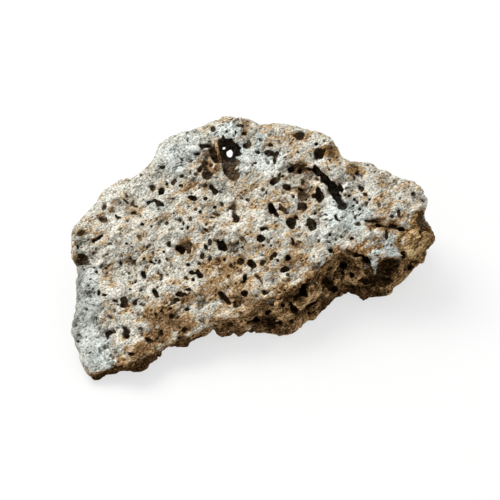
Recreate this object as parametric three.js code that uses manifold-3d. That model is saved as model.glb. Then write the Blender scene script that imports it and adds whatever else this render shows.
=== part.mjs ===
// A hand-sized lump of vesicular lava rock, 120 mm across, lying on its rough flat underside.
//
// It is one solid. A large weathered face looks forwards and up, a broken side drops from the lower
// edge of that face to the ground, and the back falls away steeply. Gas bubbles have left vesicles of
// every size in it, from the double cavity near the top to the long slit at the right.
//
// The weathered face is laid out on a plane of its own: u runs to the right, v up the face and w out
// of it. The plane faces the front and rises FACE_ELEVATION above the horizon. All lengths are in
// millimetres, and +Z is up.

import * as THREE from "three";
import { mergeVertices } from "three/addons/utils/BufferGeometryUtils.js";
import Module from "manifold-3d";

const FACE_ELEVATION = THREE.MathUtils.degToRad(50);
const PLANE_HEIGHT = 25; // of the layout plane's origin above the ground
const ROCK_COLOUR = "#b3aea0";

// ---- driving shape ---------------------------------------------------------------------------

// The outline of the rock as it shows along w, clockwise from the top.
const OUTLINE = [
  [-7.2, 44.3], [-3, 43.4], [1, 42.3], [4.5, 42], [9, 42.4], [14.5, 41.7], [20, 40.7],
  [25.5, 38.8], [27.5, 35.8], [29.5, 31.2], [32.5, 29], [37, 27.4], [42, 26.9], [46.5, 25.5],
  [51, 23.2], [55, 22.2], [57.8, 19.7], [58.8, 16], [58.4, 11], [60, 7], [60.2, 4], [57.9, -0.3],
  [56, -4.6], [53.3, -7], [49.4, -9.4], [47.4, -12.8], [46.8, -15.4], [42, -16.6], [39, -17],
  [37.2, -17.8], [36.4, -16.2], [33.4, -14.7], [30.5, -15.3], [27, -18], [22.3, -21.8],
  [18, -23.4], [16, -26.3], [12.2, -30.1], [10, -29.3], [7.9, -30.4], [4.6, -28], [-1, -28.3],
  [-5.5, -27], [-8.7, -27.7], [-11.8, -26.4], [-15, -28.6], [-17.3, -30.2], [-19, -32.6],
  [-24, -33.1], [-28.6, -34.2], [-31.3, -36.6], [-33, -38], [-40, -39.2], [-46, -41.6],
  [-49.8, -43.5], [-51.6, -42.4], [-54, -40], [-56, -37], [-56.4, -34], [-57.6, -31],
  [-57.5, -29], [-59.2, -26.6], [-58.5, -22.6], [-57.4, -18.5], [-57.2, -10], [-57.4, -6.8],
  [-58.7, -3.6], [-58.7, 1.6], [-58, 6], [-56, 9.7], [-53.2, 13.4], [-51, 16.5], [-48.5, 19.5],
  [-44.8, 22.3], [-40, 24.3], [-36.2, 25.8], [-33.6, 28.2], [-31.6, 29.8], [-29, 33.6],
  [-27, 36.2], [-23.5, 38.8], [-20, 40.6], [-16, 41.7], [-11.8, 43.3],
];

// Where the weathered face ends below, as [u, v, fall]: the side under it falls by `fall` along -w
// for each millimetre down v.
const LOWER_EDGE = [
  [-62, -44, 1.9], [-49, -40.3, 1.5], [-37, -36.3, 2.25], [-26, -31.7, 5.7], [-20.5, -28.9, 3.1],
  [-17, -27.6, 5.5], [-12.5, -24.4, 4.9], [-8.7, -23.2, 2.8], [-2, -21.3, 2.5], [4.6, -17.8, 1.72],
  [9.7, -15, 1.18], [15.7, -11.3, 1.2], [22.3, -6.7, 1.42], [28.7, 0.5, 1.44], [33.4, 0.3, 1.74],
  [38, 0, 1.43], [48, 1, 1.8], [54, 4, 2], [64, 9, 2],
];

// Broad swells and hollows of the front, as [u, v, half-length, half-width, turn in degrees, rise].
const RELIEF = [
  [-7, 40, 9, 5, 0, 1.8], // dome over the double cavity
  [38, 26, 20, 6, -28, 2.6], // ridge band beyond the slit
  [16, 23, 8, 6, 0, -2.6], // rough hollow beside the slit
  [-30, 27, 10, 7, 40, 1.4], // left shoulder
  [46, 8, 12, 2.6, -8, -2.8], // valley of the right-hand crack
  [54.5, 2, 4.5, 5.5, 0, 2.2], // lumps of the right end
  [51.5, -5, 3, 2.6, 0, 1.8],
  [46, -14.5, 4, 2.2, 0, 3], // toe at the right
  [22, -12.5, 3.4, 3, 0, 2.8], // knob between two hollows of the broken side
  [2, -26, 8, 2.6, 10, 2.2], // foot of the broken side
  [10, -27, 4, 3, 0, 2],
  [-45, -6, 10, 7, 0, -1.6],
  [-50, -33, 6, 8, 0, 1.2],
  [-20, -12, 14, 7, 32, 1.4],
  [2, 12, 10, 6, 30, 0.9],
];

// Planes that close the rock behind and beside, as [x, y, z on the plane, outward normal].
const BACK_PLANES = [
  [-31, 40, 10, new THREE.Vector3(-0.5, 0.85, 0.1)],
  [20, 42, 12, new THREE.Vector3(0.33, 0.93, 0.06)],
  [54, 26, 12, new THREE.Vector3(0.8, 0.58, 0.04)],
  [59.5, 0, 13, new THREE.Vector3(0.87, -0.1, -0.48)],
  [-58.5, 0, 8, new THREE.Vector3(-0.96, 0.1, -0.25)],
  [-46, 20, 6, new THREE.Vector3(-0.7, 0.45, -0.55)],
  [-2, 46, 1, new THREE.Vector3(0.05, 0.72, -0.69)],
];
const TAPER = 0.14; // how fast the rock narrows behind its outline

const EDGE_ROUNDING = 4; // how far the surfaces blend where they meet
const RIM = 0.7; // lets the rounded rim still reach the outline
const SIDE_RIM = 1.3; // the same again where the steep broken side meets it
const FACET_LOSS = 1; // how far the coarse facets cut the bumps short, which is made up for
const GROUND_ROUNDING = 2.5;
const GROUND_HOLLOW = 1.8; // how far the underside's hollows rise between its resting patches
const LUMP_SIZE = 5;
const LUMP_HEIGHT = 1.4;
const KNOB_SIZE = 2.1;
const KNOB_HEIGHT = 0.6;

// Vesicles of the front, as [u, v, half-length, half-width, turn in degrees, depth].
const FRONT_VESICLES = [
  // double cavity near the top, with its rib, ledge and pocket
  [-6.6, 31, 6.3, 3.3, 104, 8],
  [-11.4, 32.4, 4.8, 1.25, 118, 5.5],
  [-13.8, 30, 4.6, 2.4, 112, 2.0],
  [-13.2, 25.8, 2.6, 1.7, 10, 4],
  // long slit
  [23.2, 26, 3.2, 1.2, 130, 4.5],
  [26.7, 21.7, 3.4, 2.0, 126, 8],
  [29.2, 17.2, 3.3, 1.9, 116, 8],
  [30.9, 14.4, 1.8, 1.5, 105, 5.5],
  // around the slit
  [23.1, 18.2, 2.3, 1.5, 86, 4.4],
  [23.3, 32, 1.9, 1.7, 0, 4.4],
  [26.2, 33, 2.6, 1.7, 60, 1.8],
  [17, 38, 1.7, 1.4, 120, 3.2],
  [15.5, 26.5, 3.4, 2.2, 0, 2.2],
  [17.3, 18.3, 1.7, 1.4, 90, 2.8],
  [8, 23.2, 1.9, 1.1, 30, 4],
  [6.6, 32.4, 2.3, 0.9, 5, 3],
  // left shoulder
  [-12, 20, 2.0, 1.1, 125, 3.6],
  [-19, 17.2, 1.8, 1.1, 175, 3.4],
  [-29.2, 19.3, 1.4, 1.2, 165, 3],
  [-30.2, 15.3, 2.4, 0.9, 147, 3],
  [-55.4, -3.5, 2.4, 2, 15, 1.8],
  // lower left
  [-41.7, -17.5, 1.8, 1.3, 70, 3.2],
  [-22.7, -14.7, 1.8, 0.9, 175, 3.4],
  // middle
  [-22.3, -0.3, 2.8, 1.1, 127, 4.6],
  [-20.6, 1, 3.4, 2.1, 120, 1.6],
  [-9.7, 2, 2.4, 1.5, 118, 5],
  [-16.4, -8.5, 1.8, 0.95, 115, 3.2],
  [-5.8, 14.2, 1.5, 1.3, 0, 3],
  [-4.5, 10.3, 1.8, 1, 115, 3.4],
  [7.8, 13, 2.7, 1.3, 125, 5],
  [10.7, 13.8, 2.8, 1.3, 100, 1.4],
  [13.5, 8.8, 2, 1.5, 95, 4],
  [17.5, 14.2, 1.8, 1.3, 5, 3],
  [20.3, 8.1, 1.9, 1.3, 100, 3.6],
  [-3.1, 3.7, 1.4, 1.2, 150, 3.8],
  [3.3, 3.7, 1.2, 1.15, 0, 3.8],
  [0.3, -4.7, 1.6, 1.3, 120, 3],
  [12, -7, 1.9, 1, 118, 3],
  [-8, -16.7, 2.4, 1, 123, 4],
  // broken side
  [17.2, -12.3, 3, 1.2, 105, 4.6],
  [26, -12.7, 3, 1.7, 125, 5],
  [24.7, -10.3, 1.8, 0.9, 0, 3.4],
  [14.3, -19.3, 3.7, 1.05, 127, 4.6],
  [30.8, -5, 1.7, 1.1, 150, 3.6],
  [43.3, -10, 5, 2.3, 8, 6.5],
  [46.7, -4.5, 4, 2.5, 0, 3],
  [50.2, -1.3, 2, 0.9, 128, 3],
  [57, 10, 3.4, 1.8, 115, 4.4],
  [46, 7.4, 4.6, 1, 168, 3.2],
];

// The double cavity runs through to a wide hollow in the back.
const PASSAGE = { u: -6.2, v: 32.4, radius: 1.5, from: -12, to: -30 };
const BACK_HOLLOW = { u: -6, v: 31, w: -28, halfWidth: 4.4, halfHeight: 4, halfDepth: 11 };

// Vesicles of the back and the ends, as [azimuth, elevation seen from the core, radius, depth].
const CORE = new THREE.Vector3(-2, 6, 17); // a point well inside the rock
const REAR_VESICLES = [
  [95, 30, 3.2, 4], [120, 12, 2.4, 3.4], [62, 14, 2.8, 3.6], [48, 34, 2, 2.8], [140, 34, 2.2, 3],
  [104, 6, 1.9, 2.6], [78, 4, 2.2, 3], [158, 10, 2.6, 3.2], [30, 10, 2.4, 3.4], [176, 26, 1.9, 2.6],
  [14, 22, 1.9, 2.6], [112, 40, 1.7, 2.4], [72, 44, 1.8, 2.6], [132, 22, 1.7, 2.2], [3, 5, 2.4, 3],
  [196, 4, 2, 2.8], [38, 26, 1.9, 2.4], [-8, 14, 1.9, 2.6], [86, 18, 1.7, 2.4], [20, -6, 2, 2.8],
];

// ---- helpers ---------------------------------------------------------------------------------

const SIN = Math.sin(FACE_ELEVATION);
const COS = Math.cos(FACE_ELEVATION);
const DEGREES = Math.PI / 180;

function toLayout(x, y, z) {
  const height = z - PLANE_HEIGHT;
  return [x, y * SIN + height * COS, height * SIN - y * COS];
}

function fromLayout(u, v, w) {
  return new THREE.Vector3(u, v * SIN - w * COS, v * COS + w * SIN + PLANE_HEIGHT);
}

// Smooth pseudo-random swells between about -1 and 1, one lump being about 3 x `size` across.
function swell(x, y, z, size) {
  const a = Math.sin((x + 0.31 * y + 0.52 * z) / size + 1.1);
  const b = Math.sin((1.07 * y - 0.43 * x + 0.27 * z) / size + 2.6);
  const c = Math.sin((1.13 * z + 0.38 * x - 0.29 * y) / size + 4);
  return (a * b + b * c + c * a) / 1.5;
}

// Smooth minimum: rounds the edge between two surfaces over `width`.
function blend(a, b, width) {
  const near = Math.max(width - Math.abs(a - b), 0) / width;
  return Math.min(a, b) - (near * near * width) / 4;
}

const outlineLoop = new THREE.CatmullRomCurve3(
  OUTLINE.map(([u, v]) => new THREE.Vector3(u, v, 0)),
  true,
  "centripetal",
).getPoints(3 * OUTLINE.length);

// Distance from (u, v) to the outline, positive inside it.
function insideOutline(u, v) {
  let nearest = Infinity;
  let inside = false;
  for (let i = 1; i < outlineLoop.length; i++) {
    const a = outlineLoop[i - 1];
    const b = outlineLoop[i];
    const du = b.x - a.x;
    const dv = b.y - a.y;
    const along = ((u - a.x) * du + (v - a.y) * dv) / (du * du + dv * dv);
    const t = Math.min(1, Math.max(0, along));
    nearest = Math.min(nearest, Math.hypot(u - a.x - t * du, v - a.y - t * dv));
    if (a.y > v !== b.y > v && u < a.x + ((v - a.y) / dv) * du) inside = !inside;
  }
  return inside ? nearest : -nearest;
}

// How far (u, v) is below the weathered face's lower edge, and the fall of the side there.
function belowEdge(u, v) {
  const last = LOWER_EDGE.findIndex(([edgeU]) => edgeU > THREE.MathUtils.clamp(u, -61, 63));
  const [a, b] = [LOWER_EDGE[last - 1], LOWER_EDGE[last]];
  const t = (u - a[0]) / (b[0] - a[0]);
  return [a[1] + t * (b[1] - a[1]) - v, a[2] + t * (b[2] - a[2])];
}

// Height w of the front above the layout plane.
function frontHeight(u, v) {
  let w = 1.9 + 0.07 * u - 0.26 * v;
  for (const [atU, atV, halfLength, halfWidth, turn, rise] of RELIEF) {
    const c = Math.cos(turn * DEGREES);
    const s = Math.sin(turn * DEGREES);
    const p = ((u - atU) * c + (v - atV) * s) / halfLength;
    const q = ((v - atV) * c - (u - atU) * s) / halfWidth;
    w += rise * Math.exp(-(p * p + q * q));
  }
  const [below, fall] = belowEdge(u, v);
  const softBelow = (below + Math.sqrt(below * below + 1.2)) / 2;
  return w - fall * softBelow;
}

// Depth below the rock's surface at a point, positive inside. It is a distance near the surface.
function depthInside(x, y, z) {
  const [u, v, w] = toLayout(x, y, z);
  const step = 0.5;
  const height = frontHeight(u, v);
  const slopeU = (frontHeight(u + step, v) - height) / step;
  const slopeV = (frontHeight(u, v + step) - height) / step;
  let depth = (height - w) / Math.hypot(1, slopeU, slopeV);
  const lumps = LUMP_HEIGHT * swell(x, y, z, LUMP_SIZE) + KNOB_HEIGHT * swell(x, y, z, KNOB_SIZE);
  depth += lumps;
  for (const [px, py, pz, normal] of BACK_PLANES) {
    const out = (x - px) * normal.x + (y - py) * normal.y + (z - pz) * normal.z;
    depth = blend(depth, lumps - out / normal.length(), EDGE_ROUNDING);
  }
  const behind = Math.max(height - w, 0);
  const rim = RIM + SIDE_RIM * THREE.MathUtils.clamp(belowEdge(u, v)[0] / 4, 0, 1);
  const wallLumps = lumps * Math.min(behind / 10, 1);
  depth = blend(depth, insideOutline(u, v) + rim - TAPER * behind + wallLumps, EDGE_ROUNDING);
  depth += FACET_LOSS;
  const ground = GROUND_HOLLOW * (0.25 + swell(x, y, 3, LUMP_SIZE));
  return blend(depth, z - ground, GROUND_ROUNDING);
}

// ---- body ------------------------------------------------------------------------------------

const CELL = 4; // side of the grid's cubes: the facets come out about this size
const BARELY_INSIDE = 0.05; // depth given to a grid node that is filled in
const REACH = { min: [-67, -46, -8], max: [67, 62, 56] }; // of the grid

// The closed surface where depth() is zero: one point in each grid cube that the surface crosses, and
// a quad of such points around each grid edge that it crosses.
function skinOf(depth) {
  const size = REACH.max.map((top, axis) => Math.ceil((top - REACH.min[axis]) / CELL) + 1);
  const at = (node) => REACH.min.map((low, axis) => low + node[axis] * CELL);
  const key = (node) => (node[2] * size[1] + node[1]) * size[0] + node[0];
  const value = [];
  for (let k = 0; k < size[2]; k++)
    for (let j = 0; j < size[1]; j++)
      for (let i = 0; i < size[0]; i++) value.push(depth(...at([i, j, k])));
  const inside = (node) => value[key(node)] > 0;

  // Four nodes round a grid face that are in and out by turns would pinch the surface to an edge of
  // no width, so the one nearest to the surface is filled in, until no such face is left.
  let pinched = true;
  while (pinched) {
    pinched = false;
    for (let k = 0; k < size[2] - 1; k++)
      for (let j = 0; j < size[1] - 1; j++)
        for (let i = 0; i < size[0] - 1; i++)
          for (let axis = 0; axis < 3; axis++) {
            const a = [i, j, k];
            const b = stepped(a, axis, 1);
            const c = stepped(b, (axis + 1) % 3, 1);
            const d = stepped(a, (axis + 1) % 3, 1);
            if (inside(a) !== inside(c) || inside(b) !== inside(d) || inside(a) === inside(b)) continue;
            const [p, q] = inside(a) ? [b, d] : [a, c];
            value[key(value[key(p)] > value[key(q)] ? p : q)] = BARELY_INSIDE;
            pinched = true;
          }
  }

  const points = [];
  const pointOfCube = new Map();
  function cubePoint(cube) {
    if (!pointOfCube.has(key(cube))) {
      pointOfCube.set(key(cube), points.length);
      points.push(middleOfCrossings(cube));
    }
    return pointOfCube.get(key(cube));
  }

  function middleOfCrossings(cube) {
    const sum = new THREE.Vector3();
    let crossings = 0;
    for (let corner = 0; corner < 8; corner++)
      for (let axis = 0; axis < 3; axis++) {
        const a = cube.map((start, n) => start + ((corner >> n) & 1));
        const b = stepped(a, axis, 1);
        if ((corner >> axis) & 1 || inside(a) === inside(b)) continue;
        const share = value[key(a)] / (value[key(a)] - value[key(b)]);
        sum.add(new THREE.Vector3(...at(a)).lerp(new THREE.Vector3(...at(b)), share));
        crossings++;
      }
    return sum.divideScalar(crossings);
  }

  const triangles = [];
  for (let k = 1; k < size[2] - 1; k++)
    for (let j = 1; j < size[1] - 1; j++)
      for (let i = 1; i < size[0] - 1; i++)
        for (let axis = 0; axis < 3; axis++) {
          const node = [i, j, k];
          if (inside(node) === inside(stepped(node, axis, 1))) continue;
          const before = stepped(node, (axis + 1) % 3, -1);
          const quad = [before, node, node, before].map((cube, n) =>
            cubePoint(n < 2 ? stepped(cube, (axis + 2) % 3, -1) : cube),
          );
          if (!inside(node)) quad.reverse();
          triangles.push(...splitQuad(points, quad));
        }
  return [points, triangles];
}

function stepped(node, axis, by) {
  return node.map((start, n) => (n === axis ? start + by : start));
}

// Two triangles for a quad, split along its shorter diagonal.
function splitQuad(points, [a, b, c, d]) {
  const acIsShorter = points[a].distanceTo(points[c]) < points[b].distanceTo(points[d]);
  return acIsShorter ? [a, b, c, a, c, d] : [a, b, d, b, c, d];
}

// ---- vesicles --------------------------------------------------------------------------------

// A lumpy ball of the given half-sizes along its own axes.
function bubble(halfSizes, seed) {
  const large = halfSizes.x > LARGE;
  const geometry = large ? new THREE.IcosahedronGeometry(1, 1) : new THREE.OctahedronGeometry(1, 1);
  const position = geometry.getAttribute("position");
  const p = new THREE.Vector3();
  for (let i = 0; i < position.count; i++) {
    p.fromBufferAttribute(position, i);
    p.multiplyScalar(1 + 0.1 * swell(p.x + seed, p.y, p.z, 0.5));
    p.multiply(halfSizes);
    position.setXYZ(i, p.x, p.y, p.z);
  }
  return geometry;
}

// Turns a bubble's x, y and z axes to three directions and moves it to a place.
function place(geometry, xAxis, yAxis, zAxis, position) {
  const matrix = new THREE.Matrix4().makeBasis(xAxis, yAxis, zAxis).setPosition(position);
  return geometry.applyMatrix4(matrix);
}

const U_AXIS = new THREE.Vector3(1, 0, 0);
const V_AXIS = new THREE.Vector3(0, SIN, COS);
const W_AXIS = new THREE.Vector3(0, -COS, SIN);

// How a bubble sits under the surface: the centre's depth and its reach down, as shares of the
// vesicle's depth. Its walls then widen below the mouth.
const SUNK = 0.36;
const DOWN = 1 - SUNK;
const MOUTH = Math.sqrt(1 - (SUNK / DOWN) ** 2); // the mouth's share of the bubble's width
const LARGE = 3.8; // half-length from which a bubble gets finer facets

// The surface's w under (u, v), found by stepping down from above it.
function surfaceW(u, v) {
  for (let w = 30; w > -40; w -= 0.25) {
    const p = fromLayout(u, v, w);
    if (depthInside(p.x, p.y, p.z) > 0) return w;
  }
  throw new Error(`no rock under ${u}, ${v}`);
}

function frontVesicle([u, v, halfLength, halfWidth, turn, depth], index) {
  const half = new THREE.Vector3(halfLength / MOUTH, halfWidth / MOUTH, depth * DOWN);
  const geometry = bubble(half, 3.1 * index);
  const c = Math.cos(turn * DEGREES);
  const s = Math.sin(turn * DEGREES);
  const long = U_AXIS.clone().multiplyScalar(c).addScaledVector(V_AXIS, s);
  const wide = V_AXIS.clone().multiplyScalar(c).addScaledVector(U_AXIS, -s);
  return place(geometry, long, wide, W_AXIS, fromLayout(u, v, surfaceW(u, v) - SUNK * depth));
}

function rearVesicle([azimuth, elevation, radius, depth], index) {
  const up = elevation * DEGREES;
  const out = new THREE.Vector3(
    Math.cos(up) * Math.cos(azimuth * DEGREES),
    Math.cos(up) * Math.sin(azimuth * DEGREES),
    Math.sin(up),
  );
  const p = CORE.clone().addScaledVector(out, 90);
  while (depthInside(p.x, p.y, p.z) < 0) p.addScaledVector(out, -0.25);
  p.addScaledVector(out, -SUNK * depth);
  const side = new THREE.Vector3(-out.y, out.x, 0).normalize();
  const stretch = 1 + 0.5 * Math.abs(Math.sin(index)); // some are long, some round
  const half = new THREE.Vector3((radius * stretch) / MOUTH, radius / MOUTH, depth * DOWN);
  return place(bubble(half, 5.3 * index), side, out.clone().cross(side), out, p);
}

function passage() {
  const { u, v, radius, from, to } = PASSAGE;
  const half = new THREE.Vector3(radius, radius, (from - to) / 2);
  return place(bubble(half, 0.4), U_AXIS, V_AXIS, W_AXIS, fromLayout(u, v, (from + to) / 2));
}

function backHollow() {
  const { u, v, w, halfWidth, halfHeight, halfDepth } = BACK_HOLLOW;
  const half = new THREE.Vector3(halfWidth, halfHeight, halfDepth);
  return place(bubble(half, 9.1), U_AXIS, V_AXIS, W_AXIS, fromLayout(u, v, w));
}

// ---- solid -----------------------------------------------------------------------------------

const wasm = await Module();
wasm.setup();

// The same surface with each point held once.
function joined(geometry) {
  geometry.deleteAttribute("normal");
  geometry.deleteAttribute("uv");
  return mergeVertices(geometry, 1e-4);
}

function solidOf(geometry) {
  const merged = joined(geometry);
  return new wasm.Manifold(
    new wasm.Mesh({
      numProp: 3,
      vertProperties: merged.getAttribute("position").array,
      triVerts: new Uint32Array(merged.index.array),
    }),
  );
}

function geometryOf(solid) {
  const mesh = solid.getMesh();
  const geometry = new THREE.BufferGeometry();
  geometry.setAttribute("position", new THREE.BufferAttribute(mesh.vertProperties, 3));
  geometry.setIndex(new THREE.BufferAttribute(mesh.triVerts, 1));
  return geometry;
}

function rockBody() {
  const [points, triangles] = skinOf(depthInside);
  const geometry = new THREE.BufferGeometry().setFromPoints(points);
  geometry.setIndex(triangles);
  return solidOf(geometry);
}

function buildRock() {
  const belowGround = new THREE.BoxGeometry(200, 200, 20).translate(0, 0, -10);
  const cuts = [
    ...FRONT_VESICLES.map(frontVesicle),
    ...REAR_VESICLES.map(rearVesicle),
    passage(),
    backHollow(),
    belowGround,
  ];
  let solid = rockBody();
  for (const cut of cuts) solid = solid.subtract(solidOf(cut));
  return geometryOf(solid);
}

const geometry = buildRock();
geometry.computeBoundingBox();
const middle = geometry.boundingBox.getCenter(new THREE.Vector3());
geometry.translate(-middle.x, -middle.y, -geometry.boundingBox.min.z);
geometry.computeVertexNormals();

const lavaRock = new THREE.Mesh(
  geometry,
  new THREE.MeshStandardMaterial({ color: ROCK_COLOUR, roughness: 0.95, metalness: 0 }),
);
lavaRock.name = "lava_rock";

const group = new THREE.Group();
group.add(lavaRock);
export default group;
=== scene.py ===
"""A hand-sized piece of vesicular lava rock, built as one fine mesh round the CAD frame.

The rock is a field: a number for each point in space, positive inside the stone. Surfaces, lumps and
vesicles are combined in that field, and the mesh is where it is zero. All the field's lengths are in
millimetres. The weathered face is laid out on a plane of its own: u runs to the right, v up the face
and w out of it.
"""

import math

import bpy
import numpy as np
from mathutils import Matrix, Vector


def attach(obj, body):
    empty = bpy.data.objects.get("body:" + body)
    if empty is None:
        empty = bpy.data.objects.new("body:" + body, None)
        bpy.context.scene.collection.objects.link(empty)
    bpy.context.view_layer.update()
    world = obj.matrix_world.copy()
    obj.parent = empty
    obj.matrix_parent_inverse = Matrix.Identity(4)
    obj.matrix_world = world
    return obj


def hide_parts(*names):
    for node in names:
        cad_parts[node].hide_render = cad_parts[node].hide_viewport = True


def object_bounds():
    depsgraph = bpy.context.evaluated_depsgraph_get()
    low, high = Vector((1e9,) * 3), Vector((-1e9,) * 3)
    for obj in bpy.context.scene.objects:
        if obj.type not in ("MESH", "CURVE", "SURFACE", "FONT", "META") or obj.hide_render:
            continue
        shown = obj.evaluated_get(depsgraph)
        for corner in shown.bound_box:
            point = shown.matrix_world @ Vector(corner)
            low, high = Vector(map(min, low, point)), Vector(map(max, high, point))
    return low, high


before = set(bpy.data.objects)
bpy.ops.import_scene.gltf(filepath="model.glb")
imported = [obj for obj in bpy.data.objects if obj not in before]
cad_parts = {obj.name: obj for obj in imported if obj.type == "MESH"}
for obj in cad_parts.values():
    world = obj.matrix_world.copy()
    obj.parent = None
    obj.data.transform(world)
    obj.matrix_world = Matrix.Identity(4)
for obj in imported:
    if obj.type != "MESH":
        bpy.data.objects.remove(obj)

CAD_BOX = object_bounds()
MM = 0.001

# ---- driving shape, in millimetres ----

FACE_ELEVATION = math.radians(50)  # of the direction that the weathered face looks to
PLANE_HEIGHT = 25.0  # of the layout plane's origin above the ground

# The outline of the rock as it shows along w, clockwise from the top.
OUTLINE = [
    (-7.2, 45.2), (-3, 44.5), (1, 43.2), (4.5, 42.2), (9, 42.4), (14.5, 41.7), (20, 40.7), (25.5, 38.8),
    (27.5, 35.8), (29.5, 31.2), (32.5, 29), (37, 27.4), (42, 26.9), (46.5, 25.5), (51, 23.2), (54.2, 22.2),
    (57, 19.6), (58.2, 16), (58.2, 11), (60, 7), (60.2, 4), (57.9, -0.3), (56, -4.6), (53.3, -7),
    (49.4, -9.4), (47.4, -12.8), (46.8, -15.4), (42, -16.6), (39, -17), (37.2, -17.8), (36.4, -16.2),
    (33.4, -14.7), (30.5, -15.3), (27, -18), (22.3, -21.8), (18, -23.4), (16.4, -26.8), (12.4, -31.4),
    (10, -30.1), (7.9, -31.7), (4.6, -28.6), (-1, -28.3), (-5.5, -26.4), (-8.7, -27.5), (-12.4, -25.2),
    (-15, -28), (-17, -30.8), (-18.4, -33.4), (-24, -33.1), (-28.6, -34.2), (-31.3, -36.6), (-33, -37.7),
    (-40, -38.3), (-46, -41), (-49.8, -43.5), (-51.4, -42.2), (-53.3, -40), (-54.8, -37), (-55.2, -34),
    (-56.8, -31), (-57.5, -29), (-59.2, -26.6), (-58.5, -22.6), (-57.4, -18.5), (-57.2, -10), (-57.4, -6.8),
    (-58.7, -3.6), (-58.7, 1.6), (-58, 6), (-56, 9.7), (-53.2, 13.4), (-51, 16.5), (-48.5, 19.5),
    (-44.8, 22.3), (-40, 24.3), (-36.2, 25.8), (-33.6, 28.2), (-31.8, 30), (-30, 33.8), (-27.8, 36.8),
    (-23.9, 39.4), (-20, 40.8), (-16, 42), (-11.8, 44),
]

# Where the weathered face ends below, as (u, v, fall): the broken side under it falls by `fall` along
# -w for each millimetre down v.
LOWER_EDGE = [
    (-62, -44, 1.9), (-49, -40.3, 1.5), (-37, -36.3, 2.25), (-26, -31.7, 5.7), (-20.5, -28.9, 3.1),
    (-17, -27.6, 5.5), (-12.5, -24.4, 4.9), (-8.7, -23.2, 2.8), (-2, -21.3, 2.5), (4.6, -17.8, 1.72),
    (9.7, -15, 1.18), (15.7, -11.3, 1.2), (22.3, -6.7, 1.42), (28.7, 0.5, 1.44), (33.4, 0.3, 1.74),
    (38, 0, 1.43), (48, 1, 1.8), (54, 4, 2), (64, 9, 2),
]

# Every ellipse from here on is (u, v, half-length, half-width, turn in degrees, value), without the turn
# where it lies along u.

# Broad swells and hollows of the front, by their rise.
RELIEF = [
    (-7, 40, 9, 5, 1.8),  # dome over the double cavity
    (38, 26, 20, 6, -28, 2.6),  # ridge band beyond the slit
    (16, 23, 8, 6, -2.6),  # rough hollow beside the slit
    (-30, 27, 10, 7, 40, 1.4),  # left shoulder
    (46, 8, 12, 2.6, -8, -2.8),  # valley of the right-hand crack
    (54.5, 2, 4.5, 5.5, 2.2),  # lumps of the right end
    (51.5, -5, 3, 2.6, 1.8),
    (46, -14.5, 4, 2.2, 3),  # toe at the right
    (22, -12.5, 3.4, 3, 2.8),  # knob between two hollows of the broken side
    (2, -26, 8, 2.6, 10, 2.2),  # foot of the broken side
    (10, -27, 4, 3, 2),
    (-45, -6, 10, 7, -1.6),
    (-50, -33, 6, 8, 1.2),
    (-20, -12, 14, 7, 32, 1.4),
    (2, 12, 10, 6, 30, 0.9),
]

# Small raised features of the front, the same.
FINE_RELIEF = [
    (41, -1, 3.2, 0.7, 2, 1.4),  # pale lip over the right-hand recess, and the drip under it
    (40.6, -5.2, 2.4, 0.6, 104, 1.6),
    (45.8, -1.8, 3.4, 0.8, 170, 1.4),
    (-11.2, 34, 6.2, 0.7, 112, 0.6),  # rib between the chambers of the double cavity
    (-10.7, 26.6, 2.6, 0.9, 95, 0.4),
    (26.3, 33.2, 2.4, 0.7, 75, 0.9),
    (3, 36.2, 2.8, 1.1, 100, 1),  # bright lump beside the double cavity
    (16.6, -16.6, 2, 1.2, 20, 1.6),  # crests of the broken side
    (14.8, -22.8, 2.6, 0.8, 100, 1.6),
    (28.5, 2.4, 3.6, 0.9, 12, 0.9),  # crest along the edge of the face
    (4, -16.6, 5.5, 0.8, 31, 0.7),
]

# Planes that close the rock behind and beside, as (x, y, z on the plane), (outward normal).
BACK_PLANES = [
    ((-31, 40, 10), (-0.5, 0.85, 0.1)),
    ((20, 42, 12), (0.33, 0.93, 0.06)),
    ((54, 26, 12), (0.8, 0.58, 0.04)),
    ((59.5, 0, 13), (0.87, -0.1, -0.48)),
    ((-58.5, 0, 8), (-0.96, 0.1, -0.25)),
    ((-46, 20, 6), (-0.7, 0.45, -0.55)),
    ((-2, 46, 1), (0.05, 0.72, -0.69)),
]
TAPER = 0.14  # how fast the rock narrows behind its outline

# The plane that the front's swells rise from: its lift along w, and its slopes along u and v.
FACE_LIFT, FACE_SLOPE_U, FACE_SLOPE_V = 1.9, 0.07, -0.26
FOLD_SOFTNESS = 0.5  # of the fold between the face and the broken side, in square millimetres

EDGE_ROUNDING = 3.0  # how far the surfaces blend where they meet
RIM = 0.7  # lets the rounded rim still reach the outline
SIDE_RIM, SIDE_RIM_BELOW = 1.8, 4.0  # the same for the broken side, whole this far below the edge
GROUND_ROUNDING = 1.6
GROUND_HOLLOW = 1.8  # how far the underside's hollows rise between its resting patches
GROUND_BIAS = 0.25  # the more, the smaller the resting patches
LUMP_SIZE, LUMP_HEIGHT = 5.0, 1.4
KNOB_SIZE, KNOB_HEIGHT = 2.1, 0.6
LUMPS_WHOLE = 10.0  # how far behind the front the outline's lumps reach their full height

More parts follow.
